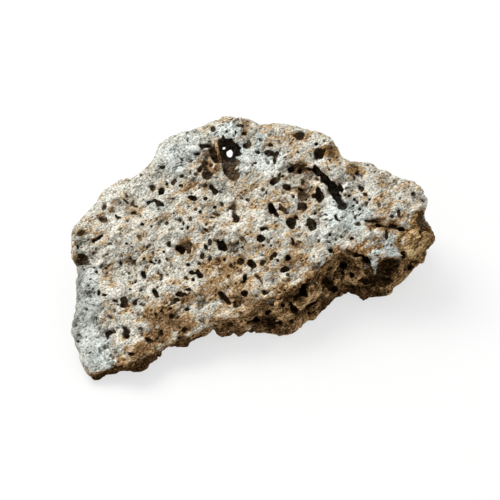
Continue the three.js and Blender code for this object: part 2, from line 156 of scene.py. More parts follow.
# Vesicles of the front, by their depth.
FRONT_VESICLES = [
    # double cavity, its pocket and ledge
    (-6.9, 33.1, 3.9, 3.2, 118, 8), (-7.3, 28.6, 4.4, 2.9, 98, 3.3), (-14.9, 30.8, 5.2, 2.5, 104, 1.5),
    (-11.8, 31.3, 4.8, 1.1, 108, 5.2), (-15.2, 34.6, 2.2, 0.7, 2, 2.6), (-13.4, 25.3, 2, 1.6, 10, 4.5),
    (-14.6, 31, 0.6, 0.5, 20, 2.6), (-14.5, 28.8, 0.5, 0.5, 2.6), (-12.8, 28.2, 0.6, 0.5, 60, 2.6),
    (-15.6, 33, 0.5, 0.4, 2.6), (-14.8, 26.9, 0.5, 0.4, 2.4), (-5.4, 38.2, 0.4, 0.3, 1.4),
    # long slit and its neighbours
    (22.4, 26.4, 2.3, 1.1, 131, 5), (25.2, 23.6, 2.3, 1.35, 133, 7), (27.8, 20.6, 3, 1.75, 124, 9),
    (29, 17, 2.6, 1.2, 110, 8), (30.4, 14.6, 1.6, 1.2, 120, 7), (30.2, 20.4, 1.3, 0.7, 112, 6),
    (22.8, 18, 2.1, 1.3, 92, 5), (28.4, 10.6, 1.3, 0.4, 120, 2), (22.6, 29.3, 0.3, 0.3, 1.2),
    (26.3, 26.8, 0.4, 0.3, 1.2), (31.7, 23.2, 0.4, 0.4, 1.2), (32.9, 17.8, 0.7, 0.4, 1.2),
    (34.1, 14.6, 0.4, 0.3, 1.4),
    # rough hollow beside the slit
    (16, 27, 4, 1.6, 1.2), (17.3, 18.3, 1.7, 1.3, 90, 2.8), (12.4, 20.8, 1.2, 1.2, 3.2),
    (13.6, 27, 1.2, 0.9, 20, 4), (16.6, 26.4, 0.9, 0.7, 100, 4), (19.4, 27.2, 1.1, 0.5, 170, 2.4),
    (16.8, 20.2, 0.9, 0.4, 150, 2.6), (14.4, 17.7, 0.8, 0.4, 120, 2.4), (20.5, 20.7, 0.5, 0.3, 1.6),
    (17.6, 22.6, 1.2, 0.5, 80, 1.6), (10.8, 24.6, 0.6, 0.4, 30, 1.8), (18.6, 16.6, 0.5, 0.4, 1.8),
    (23.3, 32, 1.8, 1.7, 4.4), (26.2, 33.1, 2.2, 2, 60, 1.8), (16.8, 38.2, 1.5, 1.3, 45, 3),
    (22, 35.4, 0.7, 0.5, 1.6), (16, 32.7, 0.5, 0.3, 1.4), (34.3, 27.7, 1.3, 0.8, 150, 1.2),
    (35.2, 25.7, 0.7, 0.7, 1.8),
    # upper middle
    (8, 23, 1.7, 1, 30, 4), (5.7, 32.7, 1, 0.8, 2.2), (7.3, 32, 1.2, 0.8, 2.4), (9, 32.3, 0.7, 0.7, 2),
    (8.3, 30, 1.3, 0.5, 90, 2), (6, 29.3, 0.5, 0.5, 1.5), (1.7, 29, 0.5, 0.5, 1.5), (-1.5, 35, 1, 0.8, 2.4),
    (-2.1, 39, 0.7, 0.7, 2), (-4.7, 39.2, 0.7, 0.3, 90, 1.5), (-7.8, 39.9, 0.7, 0.3, 90, 1.5),
    (-12.2, 40.7, 1, 0.7, 90, 2), (7, 35.1, 0.8, 0.5, 2), (2.8, 32.7, 0.6, 0.5, 1.8),
    (0.8, 28.3, 0.4, 0.3, 1.4),
    # left of the double cavity
    (-12.5, 20.8, 1.2, 0.7, 125, 2.6), (-11.5, 19.3, 1.2, 0.8, 100, 3), (-14.8, 21.6, 0.7, 0.7, 2),
    (-16.6, 26.7, 0.7, 0.6, 90, 2), (-17.3, 22.3, 0.5, 0.3, 1.4), (-17.8, 32.3, 0.8, 0.5, 1.8),
    (-19.5, 29.7, 1, 0.5, 1.8), (-18.1, 25.4, 0.5, 0.4, 1.6), (-18.1, 31.1, 0.4, 0.3, 1.4),
    (-19.1, 17.4, 1.5, 0.8, 175, 3.4), (-22.9, 21.6, 0.7, 0.4, 1.6), (-27.6, 22.1, 0.5, 0.5, 1.5),
    (-29.2, 19.3, 1.3, 1.2, 165, 3), (-32.3, 20.8, 1, 0.7, 90, 2), (-29, 27.7, 0.8, 0.6, 2),
    (-30.3, 15.5, 2, 1, 150, 3), (-33.3, 15.7, 1, 0.5, 160, 1.6), (-14.7, 17, 0.8, 0.5, 90, 2),
    (-11.7, 14.2, 0.7, 0.5, 2), (-16.6, 12.6, 0.5, 0.5, 1.8), (-12.5, 10.9, 1, 0.3, 1.2),
    (-14.7, 6.8, 1.2, 0.4, 140, 1.8),
    # left shoulder and edge
    (-27.7, 9, 1, 0.6, 155, 2.2), (-35.8, 8.4, 0.7, 0.5, 1.8), (-32.7, 7.8, 0.5, 0.3, 1.4),
    (-21.9, 8.8, 0.7, 0.3, 90, 1.5), (-20.4, 7.4, 0.6, 0.5, 90, 1.8), (-22.4, 7, 0.4, 0.3, 1.2),
    (-41.3, 16.4, 1.3, 0.3, 138, 1.4), (-38, 14.6, 1.5, 0.3, 159, 1.4), (-38.5, 12.2, 0.7, 0.6, 1.8),
    (-43.8, 10.7, 0.5, 0.5, 1.5), (-48.6, 10.1, 1, 1, 2), (-55.7, 5.7, 1.3, 0.8, 15, 2),
    (-50.7, 3.5, 2.7, 0.7, 27, 1.8), (-55.7, -3.5, 2.3, 2, 15, 1.8), (-38.8, -3.7, 1.7, 1, 1.2),
    (-47.8, -2.8, 0.5, 0.5, 1.6), (-42.7, -4.6, 0.7, 0.5, 90, 1.6), (-46.5, 2.1, 0.4, 0.3, 1.2),
    (-40.7, 2.1, 0.7, 0.3, 1.4), (-52.8, -0.7, 0.4, 0.3, 1.2), (-57, 1, 0.7, 0.5, 90, 1.5),
    # centre left
    (-22.5, -0.3, 2.5, 1, 142, 4.6), (-20.8, 1.2, 2.8, 1.7, 142, 1.3), (-19.4, 1.7, 1.5, 0.5, 150, 2),
    (-26.7, 2, 0.8, 0.8, 2.4), (-14.5, 0.8, 1, 0.5, 120, 1.8), (-15.7, -2, 0.8, 0.7, 90, 2),
    (-9.7, 2, 2.3, 1.7, 120, 5), (-28.4, -0.7, 0.5, 0.4, 1.4), (-32.5, -4, 0.7, 0.5, 1.8),
    (-33.8, -4.1, 0.4, 0.3, 1.2), (-31, -3.5, 0.5, 0.3, 1.4), (-35, -2.8, 0.7, 0.3, 90, 1.4),
    (-27.1, -3.3, 0.5, 0.5, 1.5), (-35, -8.5, 1.3, 0.8, 120, 3), (-20.3, -5, 0.7, 0.5, 1.8),
    (-16.7, -4.5, 0.5, 0.5, 1.6), (-19.1, -7.6, 1, 0.8, 2.6), (-16.4, -8.5, 1.7, 1, 120, 3.4),
    (-18.7, -9.9, 0.7, 0.5, 90, 1.8), (-27.1, -8.2, 0.5, 0.3, 1.4), (-31, -14.5, 1.7, 0.8, 120, 3.2),
    (-22.7, -14.7, 1.7, 0.8, 3.2), (-20.4, -13.1, 0.7, 0.5, 1.8), (-25.7, -21.9, 0.8, 0.8, 2.4),
    (-20.8, -19.7, 1, 0.5, 2), (-26, -19.3, 0.5, 0.5, 1.6), (-29, -20.3, 0.5, 0.5, 1.6),
    (-30.7, -21.2, 0.5, 0.4, 1.5), (-24.2, -16.7, 1, 0.7, 20, 1.4), (-21.5, -26.3, 0.8, 0.7, 2.2),
    (-23.3, -29, 0.5, 0.5, 1.6), (-29.1, -27.3, 1, 0.7, 90, 2.4), (-33.3, -29.9, 1.2, 0.7, 155, 2.4),
    (-38.9, -34.3, 1, 0.5, 2),
    # centre
    (-5.8, 14.2, 1.3, 1.3, 3.2), (-4.5, 10.3, 1.7, 1, 115, 3), (7.8, 13, 2.5, 1.3, 125, 5),
    (10.7, 13.8, 3, 1.3, 100, 1.4), (13.5, 8.8, 2, 1.5, 95, 4), (17.5, 14.2, 1.7, 1.3, 5, 3),
    (15.3, 10.7, 0.8, 0.7, 1.8), (20.3, 8.1, 2, 1.7, 100, 3.6), (4.5, 6.7, 1.2, 0.7, 160, 2.4),
    (-3.1, 3.7, 1.3, 1.2, 150, 3.8), (3.3, 3.7, 1.2, 1.2, 3.8), (-4.8, -0.3, 0.8, 0.8, 2.6),
    (4.3, 1.5, 0.5, 0.4, 1.4), (6.9, 1.3, 0.4, 0.3, 1.2), (7, -2.5, 0.8, 0.5, 90, 2.2),
    (8.2, -1.7, 0.8, 0.7, 90, 2.4), (9.1, -3.5, 0.5, 0.5, 1.6), (5.7, -3.3, 0.4, 0.3, 1.2),
    (4, -1.7, 0.4, 0.3, 1.2), (12.5, -2.7, 1, 1, 3.2), (0.3, -4.7, 1.5, 1.3, 120, 3),
    (-3.1, -3.7, 1.2, 1, 160, 2.8), (-6.2, -5.2, 0.8, 0.5, 90, 2), (-8.3, -3.3, 0.7, 0.3, 90, 1.5),
    (4, -4.7, 0.7, 0.5, 90, 1.8), (11.3, -6.7, 1.3, 1.2, 118, 3), (12.3, -8.3, 0.8, 0.5, 118, 2),
    (13.9, 3.8, 0.5, 0.5, 1.6), (16.5, 2.8, 0.4, 0.3, 1.2), (14.2, 2.3, 0.8, 0.5, 90, 1.8),
    # right
    (21.7, 12.2, 0.7, 0.7, 2), (24.9, 11.8, 0.5, 0.3, 1.4), (30.4, 10.8, 0.5, 0.3, 1.4),
    (34, 12.7, 0.4, 0.3, 1.2), (34.7, 10.7, 0.7, 0.3, 90, 1.4), (35.5, 8.6, 1, 0.7, 2.2),
    (26.2, 5.1, 0.7, 0.5, 90, 1.8), (30, 4.1, 0.5, 0.3, 1.4), (33.6, 3.8, 0.5, 0.5, 1.6),
    (25.8, 2.8, 0.5, 0.5, 1.6), (22.7, 3.2, 0.4, 0.4, 1.2), (28.3, 3.3, 0.4, 0.4, 1.2),
    (26.5, -0.3, 0.8, 0.8, 2.6), (21, -2.3, 0.5, 0.3, 90, 1.4), (35.2, -1.4, 1.3, 1, 1),
    (38, 15, 1.5, 1, 10, 2), (39.3, 16.7, 0.5, 0.5, 1.5), (36.3, 13.7, 0.5, 0.5, 1.5),
    (34.3, 17, 0.5, 0.5, 1.5), (38, 18.5, 0.7, 0.5, 1.8), (53.7, 18.7, 0.7, 0.7, 2),
    (56.3, 16.7, 1.3, 0.3, 140, 1.4), (48.9, 12.3, 1.2, 0.5, 90, 2), (46, 7.4, 5.4, 0.3, 171, 1.8),
    (42.6, 7.8, 1.2, 0.6, 150, 3.2), (46.8, 8, 1.2, 0.5, 2.6), (49.8, 6.8, 1.4, 0.8, 170, 3.6),
    (44.8, 5.1, 1.8, 0.4, 92, 2.4), (57.5, 10, 3.3, 2.2, 115, 4.6), (40.7, 3.4, 0.4, 0.3, 1.4),
    (40.4, 9.6, 2.2, 0.4, 175, 1.6),
    # broken side
    (30.8, -5, 1.7, 1, 155, 3.6), (30.7, -7.9, 0.7, 0.5, 1.8), (33.9, -8.1, 1.3, 0.7, 90, 2.4),
    (39.3, -3.5, 1, 0.5, 112, 2.4), (45.7, -5.4, 3.6, 2.4, 2.4), (42, -10.4, 5.6, 2, 176, 5),
    (50, -1, 2.2, 0.8, 130, 3), (53.7, -5.9, 1.3, 0.8, 20, 2.8), (-1.7, -9.7, 1.5, 0.7, 100, 3.2),
    (-7.1, -8.7, 0.5, 0.5, 1.6), (-1.9, -14.3, 1, 1, 3.2), (4.6, -14.2, 0.8, 0.5, 90, 2.2),
    (-8, -16.2, 2.9, 0.8, 132, 4), (-4.6, -18, 2.2, 1.5, 30, 0.9), (2.5, -9, 1.3, 0.5, 140, 1.8),
    (8.8, -10.3, 0.5, 0.3, 1.4), (9.6, -14.1, 0.7, 0.3, 1.4), (11.3, -13.3, 0.5, 0.3, 1.4),
    (17.3, -12.6, 3, 1.2, 108, 4.6), (26, -11.3, 2.3, 1.3, 130, 3), (28, -13.3, 1.2, 1, 100, 2.4),
    (24.3, -10.5, 1.5, 0.8, 10, 2), (14.3, -19.4, 3.8, 1, 128, 4.6), (1.5, -22.8, 1.7, 0.8, 170, 3.2),
    (10.7, -18.3, 0.7, 0.5, 2), (9.8, -24.2, 0.7, 0.7, 2.2), (6.1, -23.2, 0.5, 0.3, 1.4),
    (38, -2.6, 1.6, 0.9, 110, 3), (20.6, -17.6, 1.6, 0.8, 20, 2.4), (6, -20.6, 2, 0.7, 35, 2),
    # lower left
    (-50.7, -7.4, 0.5, 0.5, 1.5), (-53.2, -11.9, 0.4, 0.3, 1.2), (-54.7, -14, 0.7, 0.3, 90, 1.4),
    (-49.5, -14.5, 1.2, 0.5, 100, 2), (-47.5, -14.9, 1, 0.4, 1.6), (-41.7, -17.5, 1.7, 1.5, 70, 3.2),
    (-44.2, -16.9, 0.8, 0.5, 170, 1.8), (-37.8, -17.8, 0.7, 0.7, 2), (-35.7, -20.7, 0.4, 0.3, 1.2),
    (-40.4, -28.1, 2.7, 0.8, 103, 3), (-46.1, -27.7, 1, 1, 2.4), (-57.4, -25.1, 0.8, 0.7, 90, 2),
    (-56.3, -30.3, 0.5, 0.5, 1.6),
]

# ---- stain and painted shade, in millimetres on the layout plane ----

# Soft patches by their strength: rust-brown stain,
STAIN = [
    # warm middle
    (-8.3, -5, 9.3, 6, 0.92), (-11.7, -12.3, 10, 4.3, 0.92), (-4.7, -17.7, 8, 4.3, 20, 0.95),
    (-7.3, -22.7, 10, 2.3, 5, 0.8), (0.7, -12, 6.7, 5, 0.85), (13.7, -4, 3.7, 5, 0.9),
    (8, -5, 19, 13, 25, 0.6), (4.7, 8.7, 9.3, 3.7, 0.45), (0, 0, 8.7, 5, 0.68), (-3.3, 14, 8, 4, 0.3),
    (-15, 12, 3.7, 2.3, 0.7), (-18.7, 21.3, 4.3, 4, 60, 0.85), (-21.7, 15.3, 3.3, 2, 0.7),
    (10, 14.7, 2.3, 4.3, 0.6), (18.3, 14.7, 2.7, 3, 0.6), (16.7, 19.3, 2.7, 2.7, 0.7),
    # round the double cavity and along the ridge
    (-16.3, 33.3, 2, 4.7, 0.8), (-14, 27.3, 3, 3.7, 0.8), (-10.6, 31.5, 7, 1.2, 108, 1.3),
    (-1.3, 39.7, 2.7, 3, 0.7), (7, 39, 4.7, 4, 0.6), (13.3, 33.3, 3, 5.3, 0.55), (16, 27.7, 6.7, 2.7, 0.95),
    (16.7, 38.3, 2.7, 2.7, 0.7), (23.3, 36.7, 4.7, 1.7, -20, 0.45), (6, 20, 2.7, 2, 0.3),
    # left
    (-24, 36, 2.6, 3, 0.9), (-40, 17.7, 4.7, 2.3, 0.85), (-38, 14.3, 2.7, 2, 0.6),
    (-52.3, 7, 5.3, 2.7, 20, 0.8), (-55.7, -3, 3.7, 3, 0.9), (-48.7, 3.7, 4.3, 2, 25, 0.4),
    (-33.3, 4, 6.7, 2.7, 30, 0.3), (-43.3, -5.3, 12, 2.7, 28, 0.45), (-39.3, -3.7, 3, 1.7, 0.6),
    (-47.3, -13, 4.7, 2, 20, 0.5), (-41.7, -16.7, 3.3, 2.7, 0.5), (-21.3, 1, 5, 3.3, 0.95),
    (-19.3, -4, 3.3, 2, 0.5),
    # lower left
    (-24.3, -16.7, 5, 3.7, 0.8), (-28.3, -21.7, 7.3, 5, 1.2), (-21.3, -25, 5, 5.7, 1.2),
    (-30, -28.7, 8.7, 3.7, 20, 1.3), (-17.7, -16.7, 3, 2.7, 0.6), (-41, -25.7, 3.3, 5.3, 0.5),
    (-34.7, -32, 6.7, 3, 20, 1.2), (-42, -36.3, 5, 2.3, 20, 0.9), (-46, -27.7, 2.7, 2.7, 0.4),
    # right
    (43.3, 16, 3.3, 7.3, 0.6), (38.3, 11.7, 4, 4, 0.6), (43.5, 8.4, 8.7, 2.8, -8, 1.2),
    (52.7, 16, 4.7, 4.7, 0.6), (40, 3, 4, 2.7, 0.6), (50, 9.3, 3.3, 3.3, 0.7),
]
# amber stain,
AMBER = [
    (-8.7, -6, 6.7, 4, 0.35), (26.7, 33.3, 3.3, 3.3, 0.9), (34, 27.3, 3.3, 2.7, 0.9), (55, 8, 3.3, 6.7, 0.9),
    (54, 2.7, 5.7, 5.7, 1), (45.3, -14, 3, 2, 0.9), (54, -2.7, 4.7, 3.3, 0.7), (2.7, 15, 4, 2.7, 0.2),
]
# and bare stone with a bluish cast.
BARE = [
    (-23.3, 32.7, 11.3, 7.3, 40, 0.72), (-36.7, 20, 8.7, 3.3, 35, 0.5), (-8.3, 40, 5.3, 3.3, 1),
    (-53.9, -20, 5.2, 19, 0.9), (-49.7, -33.3, 5.3, 7.3, 1), (31.7, 11.3, 8.7, 6, 0.9), (25, 5, 6.7, 4, 0.6),
    (5, 31.3, 6.7, 3.3, 0.8), (-30.7, 14.3, 4.7, 2.7, 0.7), (47, 0.8, 3.6, 5, 1), (41, -1.2, 3.4, 1.1, 2, 1),
    (40.7, -5.2, 3, 0.9, 100, 1), (26.7, 15, 3.3, 4.7, 0.6), (-2.4, 31.5, 3.4, 7, 0.8), (7, 29, 6.5, 5, 0.7),
    # This row lightens the bright lump beside the double cavity, partly as a painted highlight.
    (3, 36.2, 3, 1.6, 100, 1.3),
]
# Painted shade that darkens the stone: on the lower side that faces down, along the left edge and in
# hollows.
PAINTED_SHADE = [
    (-45, -41.2, 8, 2.4, 18, 1.5), (-33.5, -37.6, 8, 2.8, 14, 1.5), (-21, -32, 7, 2.6, 14, 1.3),
    (-57, -15, 2.6, 24, 0.6), (0, -26, 16, 2.4, 4, 0.6), (27, -17.5, 6, 2.4, 48, 1.2),
    (40, -15.5, 6, 3.2, 1.4), (33.5, -14, 3, 3, 1.2), (3, 23, 4, 3, 0.3), (23, 18, 4, 3.5, 90, 0.4),
    (44, 9, 7, 2, -5, 0.4), (-55.7, 4, 2, 3, 0.4), (-54, -22, 7, 22, 0.42), (17, 24.5, 7, 6, 0.5),
]

# Passages from the double cavity out at the back and a hollow that they meet there, as (u, v, w,
# half-sizes along u, v and w).
PASSAGES = [(-6.8, 32.7, -27, 1.5, 2.1, 20), (-8.8, 34.5, -27, 0.8, 1.1, 20), (-6, 31, -28, 4.4, 4, 11)]
# Bars of stone across the double cavity, as (u, v, depth under the surface) of both ends and a radius.
BARS = [
    ((-11.6, 38, 0.2), (-10.4, 32.5, 1.8), 0.6), ((-10.4, 32.5, 1.8), (-9.8, 28.4, 2), 0.65),
    ((-9.8, 28.4, 2), (-10, 24.6, 0.4), 0.95),
]
# Pale lip that hangs over the right-hand recess, in soft patches.
LIP = [(41, -1.2, 3.4, 1.1, 2, 1), (40.7, -5.2, 3, 0.9, 100, 1), (47, 1.5, 3.6, 5, 1)]

# ---- field ----

CELL = 0.4  # side of the grid's cubes
GRID_LOW = np.array([-62.0, -47.0, -1.6])
GRID_HIGH = np.array([62.4, 53.0, 47.6])
BAND = 3.8  # how far from the surface the fine field is worked out

SIN, COS = math.sin(FACE_ELEVATION), math.cos(FACE_ELEVATION)
U_AXIS = np.array([1.0, 0.0, 0.0])
V_AXIS = np.array([0.0, SIN, COS])
W_AXIS = np.array([0.0, -COS, SIN])
ORIGIN = np.array([0.0, 0.0, PLANE_HEIGHT])  # of u, v and w
random = np.random.default_rng(7)


def to_layout(points):
    """u, v and w of an array of points."""
    raised = points - ORIGIN
    return raised @ U_AXIS, raised @ V_AXIS, raised @ W_AXIS


def from_layout(u, v, w):
    """The point at u, v and w."""
    return u * U_AXIS + v * V_AXIS + w * W_AXIS + ORIGIN


def turned(u, v, degrees=0):
    """u and v, or the axes themselves, along and across a direction at an angle to u."""
    c, s = math.cos(math.radians(degrees)), math.sin(math.radians(degrees))
    return u * c + v * s, v * c - u * s


def swell(x, y, z, size):
    """Smooth swells between about -1 and 1, one lump being about 3 x size across."""
    a = np.sin((x + 0.31 * y + 0.52 * z) / size + 1.1)
    b = np.sin((1.07 * y - 0.43 * x + 0.27 * z) / size + 2.6)
    c = np.sin((1.13 * z + 0.38 * x - 0.29 * y) / size + 4)
    return (a * b + b * c + c * a) / 1.5


def blend(a, b, width):
    """Smooth minimum: rounds the edge between two surfaces over `width`."""
    near = np.maximum(width - np.abs(a - b), 0) / width
    return np.minimum(a, b) - near * near * width / 4


GRADIENT_COUNT = 1024  # a power of two
GRADIENTS = np.random.default_rng(3).normal(size=(3, GRADIENT_COUNT)).astype(np.float32)
GRADIENTS /= np.linalg.norm(GRADIENTS, axis=0)
HASHES = (73856093, 19349663, 83492791)  # large primes that scramble a corner's x, y and z
SEED_HASH = 7919
NOISE_GAIN = 1.6  # brings the noise's range to about -1 to 1


def noise(points, size, seed=0):
    """Gradient noise between about -1 and 1, one lump being about `size` across."""
    scaled = (points.T / size).astype(np.float32)
    corner = np.floor(scaled).astype(np.int64)
    inside = scaled - corner
    fade = inside * inside * inside * (inside * (inside * 6 - 15) + 10)
    keys = [[(corner[n] + step) * HASHES[n] for step in (0, 1)] for n in range(3)]
    weights = [(1 - fade[n], fade[n]) for n in range(3)]
    total = np.zeros(len(points), dtype=np.float32)
    for i, j, k in np.ndindex(2, 2, 2):
        pick = (keys[0][i] ^ keys[1][j] ^ keys[2][k]) + seed * SEED_HASH
        x, y, z = GRADIENTS[:, (pick ^ pick >> 11) & (GRADIENT_COUNT - 1)]
        value = x * (inside[0] - i) + y * (inside[1] - j) + z * (inside[2] - k)
        total += value * weights[0][i] * weights[1][j] * weights[2][k]
    return total * NOISE_GAIN


def closed_curve(corners, steps):
    """Points of a smooth closed curve through the corners."""
    p = np.array(corners, dtype=float)
    before, after, next_after = np.roll(p, 1, 0), np.roll(p, -1, 0), np.roll(p, -2, 0)
    t = (np.arange(steps) / steps)[None, :, None]
    p0, p1, p2, p3 = (q[:, None, :] for q in (before, p, after, next_after))
    curve = 0.5 * (2 * p1 + (p2 - p0) * t + (2 * p0 - 5 * p1 + 4 * p2 - p3) * t**2
                   + (3 * p1 - p0 - 3 * p2 + p3) * t**3)
    return curve.reshape(-1, 2)


CURVE_STEPS = 3  # points of the outline's curve for each of its corners


def inside_outline(u, v):
    """Distance from each (u, v) to the outline, positive inside it."""
    loop = closed_curve(OUTLINE, CURVE_STEPS)
    nearest = np.full(u.shape, np.inf)
    crossings = np.zeros(u.shape, dtype=int)
    for (au, av), (bu, bv) in zip(loop, np.roll(loop, -1, 0)):
        du, dv = bu - au, bv - av
        t = np.clip(((u - au) * du + (v - av) * dv) / (du * du + dv * dv), 0, 1)
        nearest = np.minimum(nearest, np.hypot(u - au - t * du, v - av - t * dv))
        if av != bv:
            crossings += ((av > v) != (bv > v)) & (u < au + (v - av) / dv * du)
    return np.where(crossings % 2, nearest, -nearest)


def in_ellipse(u, v, row):
    """Each (u, v) along and across a row's ellipse, in its half-sizes, and the row's value."""
    at_u, at_v, half_length, half_width, *turn, value = row
    along, across = turned(u - at_u, v - at_v, *turn)
    return along / half_length, across / half_width, value


def bump_map(u, v, rows):
    """The rise of all the rows' bumps together at each (u, v)."""
    total = np.zeros(u.shape)
    for row in rows:
        p, q, rise = in_ellipse(u, v, row)
        total += rise * np.exp(-(p * p + q * q))
    return total


def below_edge(u, v):
    """How far down v each (u, v) is under the face's lower edge, and the fall of the side there."""
    edge_u, edge_v, fall = np.array(LOWER_EDGE).T
    return np.interp(u, edge_u, edge_v) - v, np.interp(u, edge_u, fall)


MAP_STEP = 0.5
MAP_LOW, MAP_HIGH = -64.0, 64.0


def rim_map():
    """Distance inside the outline, on a square grid of the layout plane."""
    line = np.arange(MAP_LOW, MAP_HIGH, MAP_STEP)
    return inside_outline(*np.meshgrid(line, line, indexing="ij"))


def read_map(values, u, v):
    """A map's value at each (u, v), by linear interpolation."""
    place = (np.stack([u, v]) - MAP_LOW) / MAP_STEP
    corner = np.clip(np.floor(place).astype(int), 0, len(values) - 2)
    (i, j), (s, t) = corner, place - corner
    return ((1 - s) * (1 - t) * values[i, j] + s * (1 - t) * values[i + 1, j]
            + (1 - s) * t * values[i, j + 1] + s * t * values[i + 1, j + 1])


def front_height(u, v):
    """Height w of the front above the layout plane."""
    below, fall = below_edge(u, v)
    soft_below = (below + np.sqrt(below * below + FOLD_SOFTNESS)) / 2
    plane = FACE_LIFT + FACE_SLOPE_U * u + FACE_SLOPE_V * v
    return plane + bump_map(u, v, RELIEF + FINE_RELIEF) - fall * soft_below


ROWS_LOW, ROWS_HIGH, ROW_STEP = -60, 62, 0.25  # v at which the front's height is worked out
GROUND_SLICE = 3.0  # z at which the swells shape the underside


def coarse_field():
    """Depth below the rock's surface on the grid, before fine relief and vesicles."""
    x, y, z = (np.arange(low, high, CELL) for low, high in zip(GRID_LOW, GRID_HIGH))
    map_v = np.arange(ROWS_LOW, ROWS_HIGH, ROW_STEP)
    grid_u, grid_v = np.meshgrid(x, map_v, indexing="ij")
    below, _ = below_edge(grid_u, grid_v)
    side_rim = SIDE_RIM * np.clip(below / SIDE_RIM_BELOW, 0, 1)
    wall_map = inside_outline(grid_u, grid_v) + RIM + side_rim
    height = front_height(grid_u, grid_v)
    slope_u, slope_v = np.gradient(height, CELL, ROW_STEP)
    steepness = np.sqrt(1 + slope_u**2 + slope_v**2)
    plane_y, plane_z = np.meshgrid(y, z, indexing="ij")
    raised = plane_z - PLANE_HEIGHT
    v = plane_y * SIN + raised * COS
    w = raised * SIN - plane_y * COS
    field = np.empty((len(x), len(y), len(z)), dtype=np.float32)
    for i, at_x in enumerate(x):
        top = np.interp(v, map_v, height[i])
        lumps = (LUMP_HEIGHT * swell(at_x, plane_y, plane_z, LUMP_SIZE)
                 + KNOB_HEIGHT * swell(at_x, plane_y, plane_z, KNOB_SIZE))
        depth = (top - w) / np.interp(v, map_v, steepness[i]) + lumps
        for (px, py, pz), normal in BACK_PLANES:
            out = (at_x - px) * normal[0] + (plane_y - py) * normal[1] + (plane_z - pz) * normal[2]
            depth = blend(depth, lumps - out / math.hypot(*normal), EDGE_ROUNDING)
        behind = np.maximum(top - w, 0)
        wall = np.interp(v, map_v, wall_map[i]) - TAPER * behind
        depth = blend(depth, wall + lumps * np.minimum(behind / LUMPS_WHOLE, 1), EDGE_ROUNDING)
        ground = GROUND_HOLLOW * (GROUND_BIAS + swell(at_x, plane_y, GROUND_SLICE, LUMP_SIZE))
        field[i] = blend(depth, plane_z - ground, GROUND_ROUNDING)
    return field


FLOW_TURN = 33  # the flow's direction on the face, in degrees
FLOW_STRETCH = 1.8
GRAIN = [(8.0, 0.5), (3.6, 0.65), (1.9, 0.6), (1.05, 0.4)]  # (size, height)
CRAGS = [(5.5, 1.2), (2.6, 1.1), (1.4, 0.6)]  # the same for the broken side and the right-hand end alone
CRAGS_BELOW = (0, 2.5)  # where they begin and are whole, below the face's edge
RIGHT_END, RIGHT_END_CRAGS = (49, 53), 0.8  # the same along u, and their share there
RIM_CALM, RIM_CALM_WIDTH = 0.35, 3.0  # the grain's share at the outline, and where it is whole again
CREASE_SIZE, CREASE_DEPTH, CREASE_WIDTH = 2.6, 1.1, 0.35
CREASE_PATCH, CREASE_SHARE = 6.0, 0.4  # size of the patches that they come in, and how usual those are
WORN_HEIGHT = 1.5  # below this the grain fades, and the resting patches are worn flat


def along_flow(u, v, w):
    """Layout coordinates turned to the flow's direction and squeezed along it."""
    along, across = turned(u, v, FLOW_TURN)
    return np.stack([along / FLOW_STRETCH, across, w], axis=1)


def add_fine_relief(field):
    """Roughens the surface: grain and creases drawn out along the flow, and crags where it is broken."""
    near = np.nonzero(np.abs(field) < BAND)
    points = np.stack(near, axis=1) * CELL + GRID_LOW
    u, v, w = to_layout(points)
    drawn = along_flow(u, v, w)
    rough = sum(height * noise(drawn, size, seed) for seed, (size, height) in enumerate(GRAIN))
    below, _ = below_edge(u, v)
    broken = np.maximum(soft_step(below, *CRAGS_BELOW), RIGHT_END_CRAGS * soft_step(u, *RIGHT_END))
    side = broken > 0
    rough[side] += broken[side] * sum(height * noise(points[side], size, seed)
                                      for seed, (size, height) in enumerate(CRAGS, 30))
    crease = np.maximum(CREASE_WIDTH - np.abs(noise(drawn, CREASE_SIZE, seed=11)), 0) / CREASE_WIDTH
    rough -= CREASE_DEPTH * crease * np.clip(CREASE_SHARE + noise(drawn, CREASE_PATCH, seed=12), 0, 1)
    worn = np.clip(points[:, 2] / WORN_HEIGHT, 0, 1)
    calm = RIM_CALM + (1 - RIM_CALM) * np.clip(read_map(rim_map(), u, v) / RIM_CALM_WIDTH, 0, 1)
    field[near] += rough * worn * calm


def grid_window(field, centre, reach):
    """Slices of the grid within `reach` of a point, and the coordinates of the grid's points there."""
    low = np.maximum(np.floor((centre - reach - GRID_LOW) / CELL).astype(int), 0)
    high = np.ceil((centre + reach - GRID_LOW) / CELL).astype(int) + 1
    window = tuple(slice(a, b) for a, b in zip(low, high))
    index = np.indices(field[window].shape).reshape(3, -1).T + low
    return window, index * CELL + GRID_LOW


SWOLLEN = 1.35  # how far out a vesicle's lumps may reach, in half-sizes
WALL_WARP, WALL_LUMP = 0.2, 0.62  # height and size of the lumps, the same
LEAST_WALL_LUMP = 0.6  # smaller half-sizes count as this for the size of the lumps
WALL_GRAIN, WALL_GRAIN_HEIGHT = 1.4, 0.5  # size and greatest height of the walls' roughness
WALL_GRAIN_SHARE, GRAINED_FROM = 0.22, 0.7  # its height in half-sizes, and the least half-size with it
VESICLE_RIM, SMALL_RIM = 0.3, 0.22  # how far a mouth's edge is rounded
TINY = 1e-6


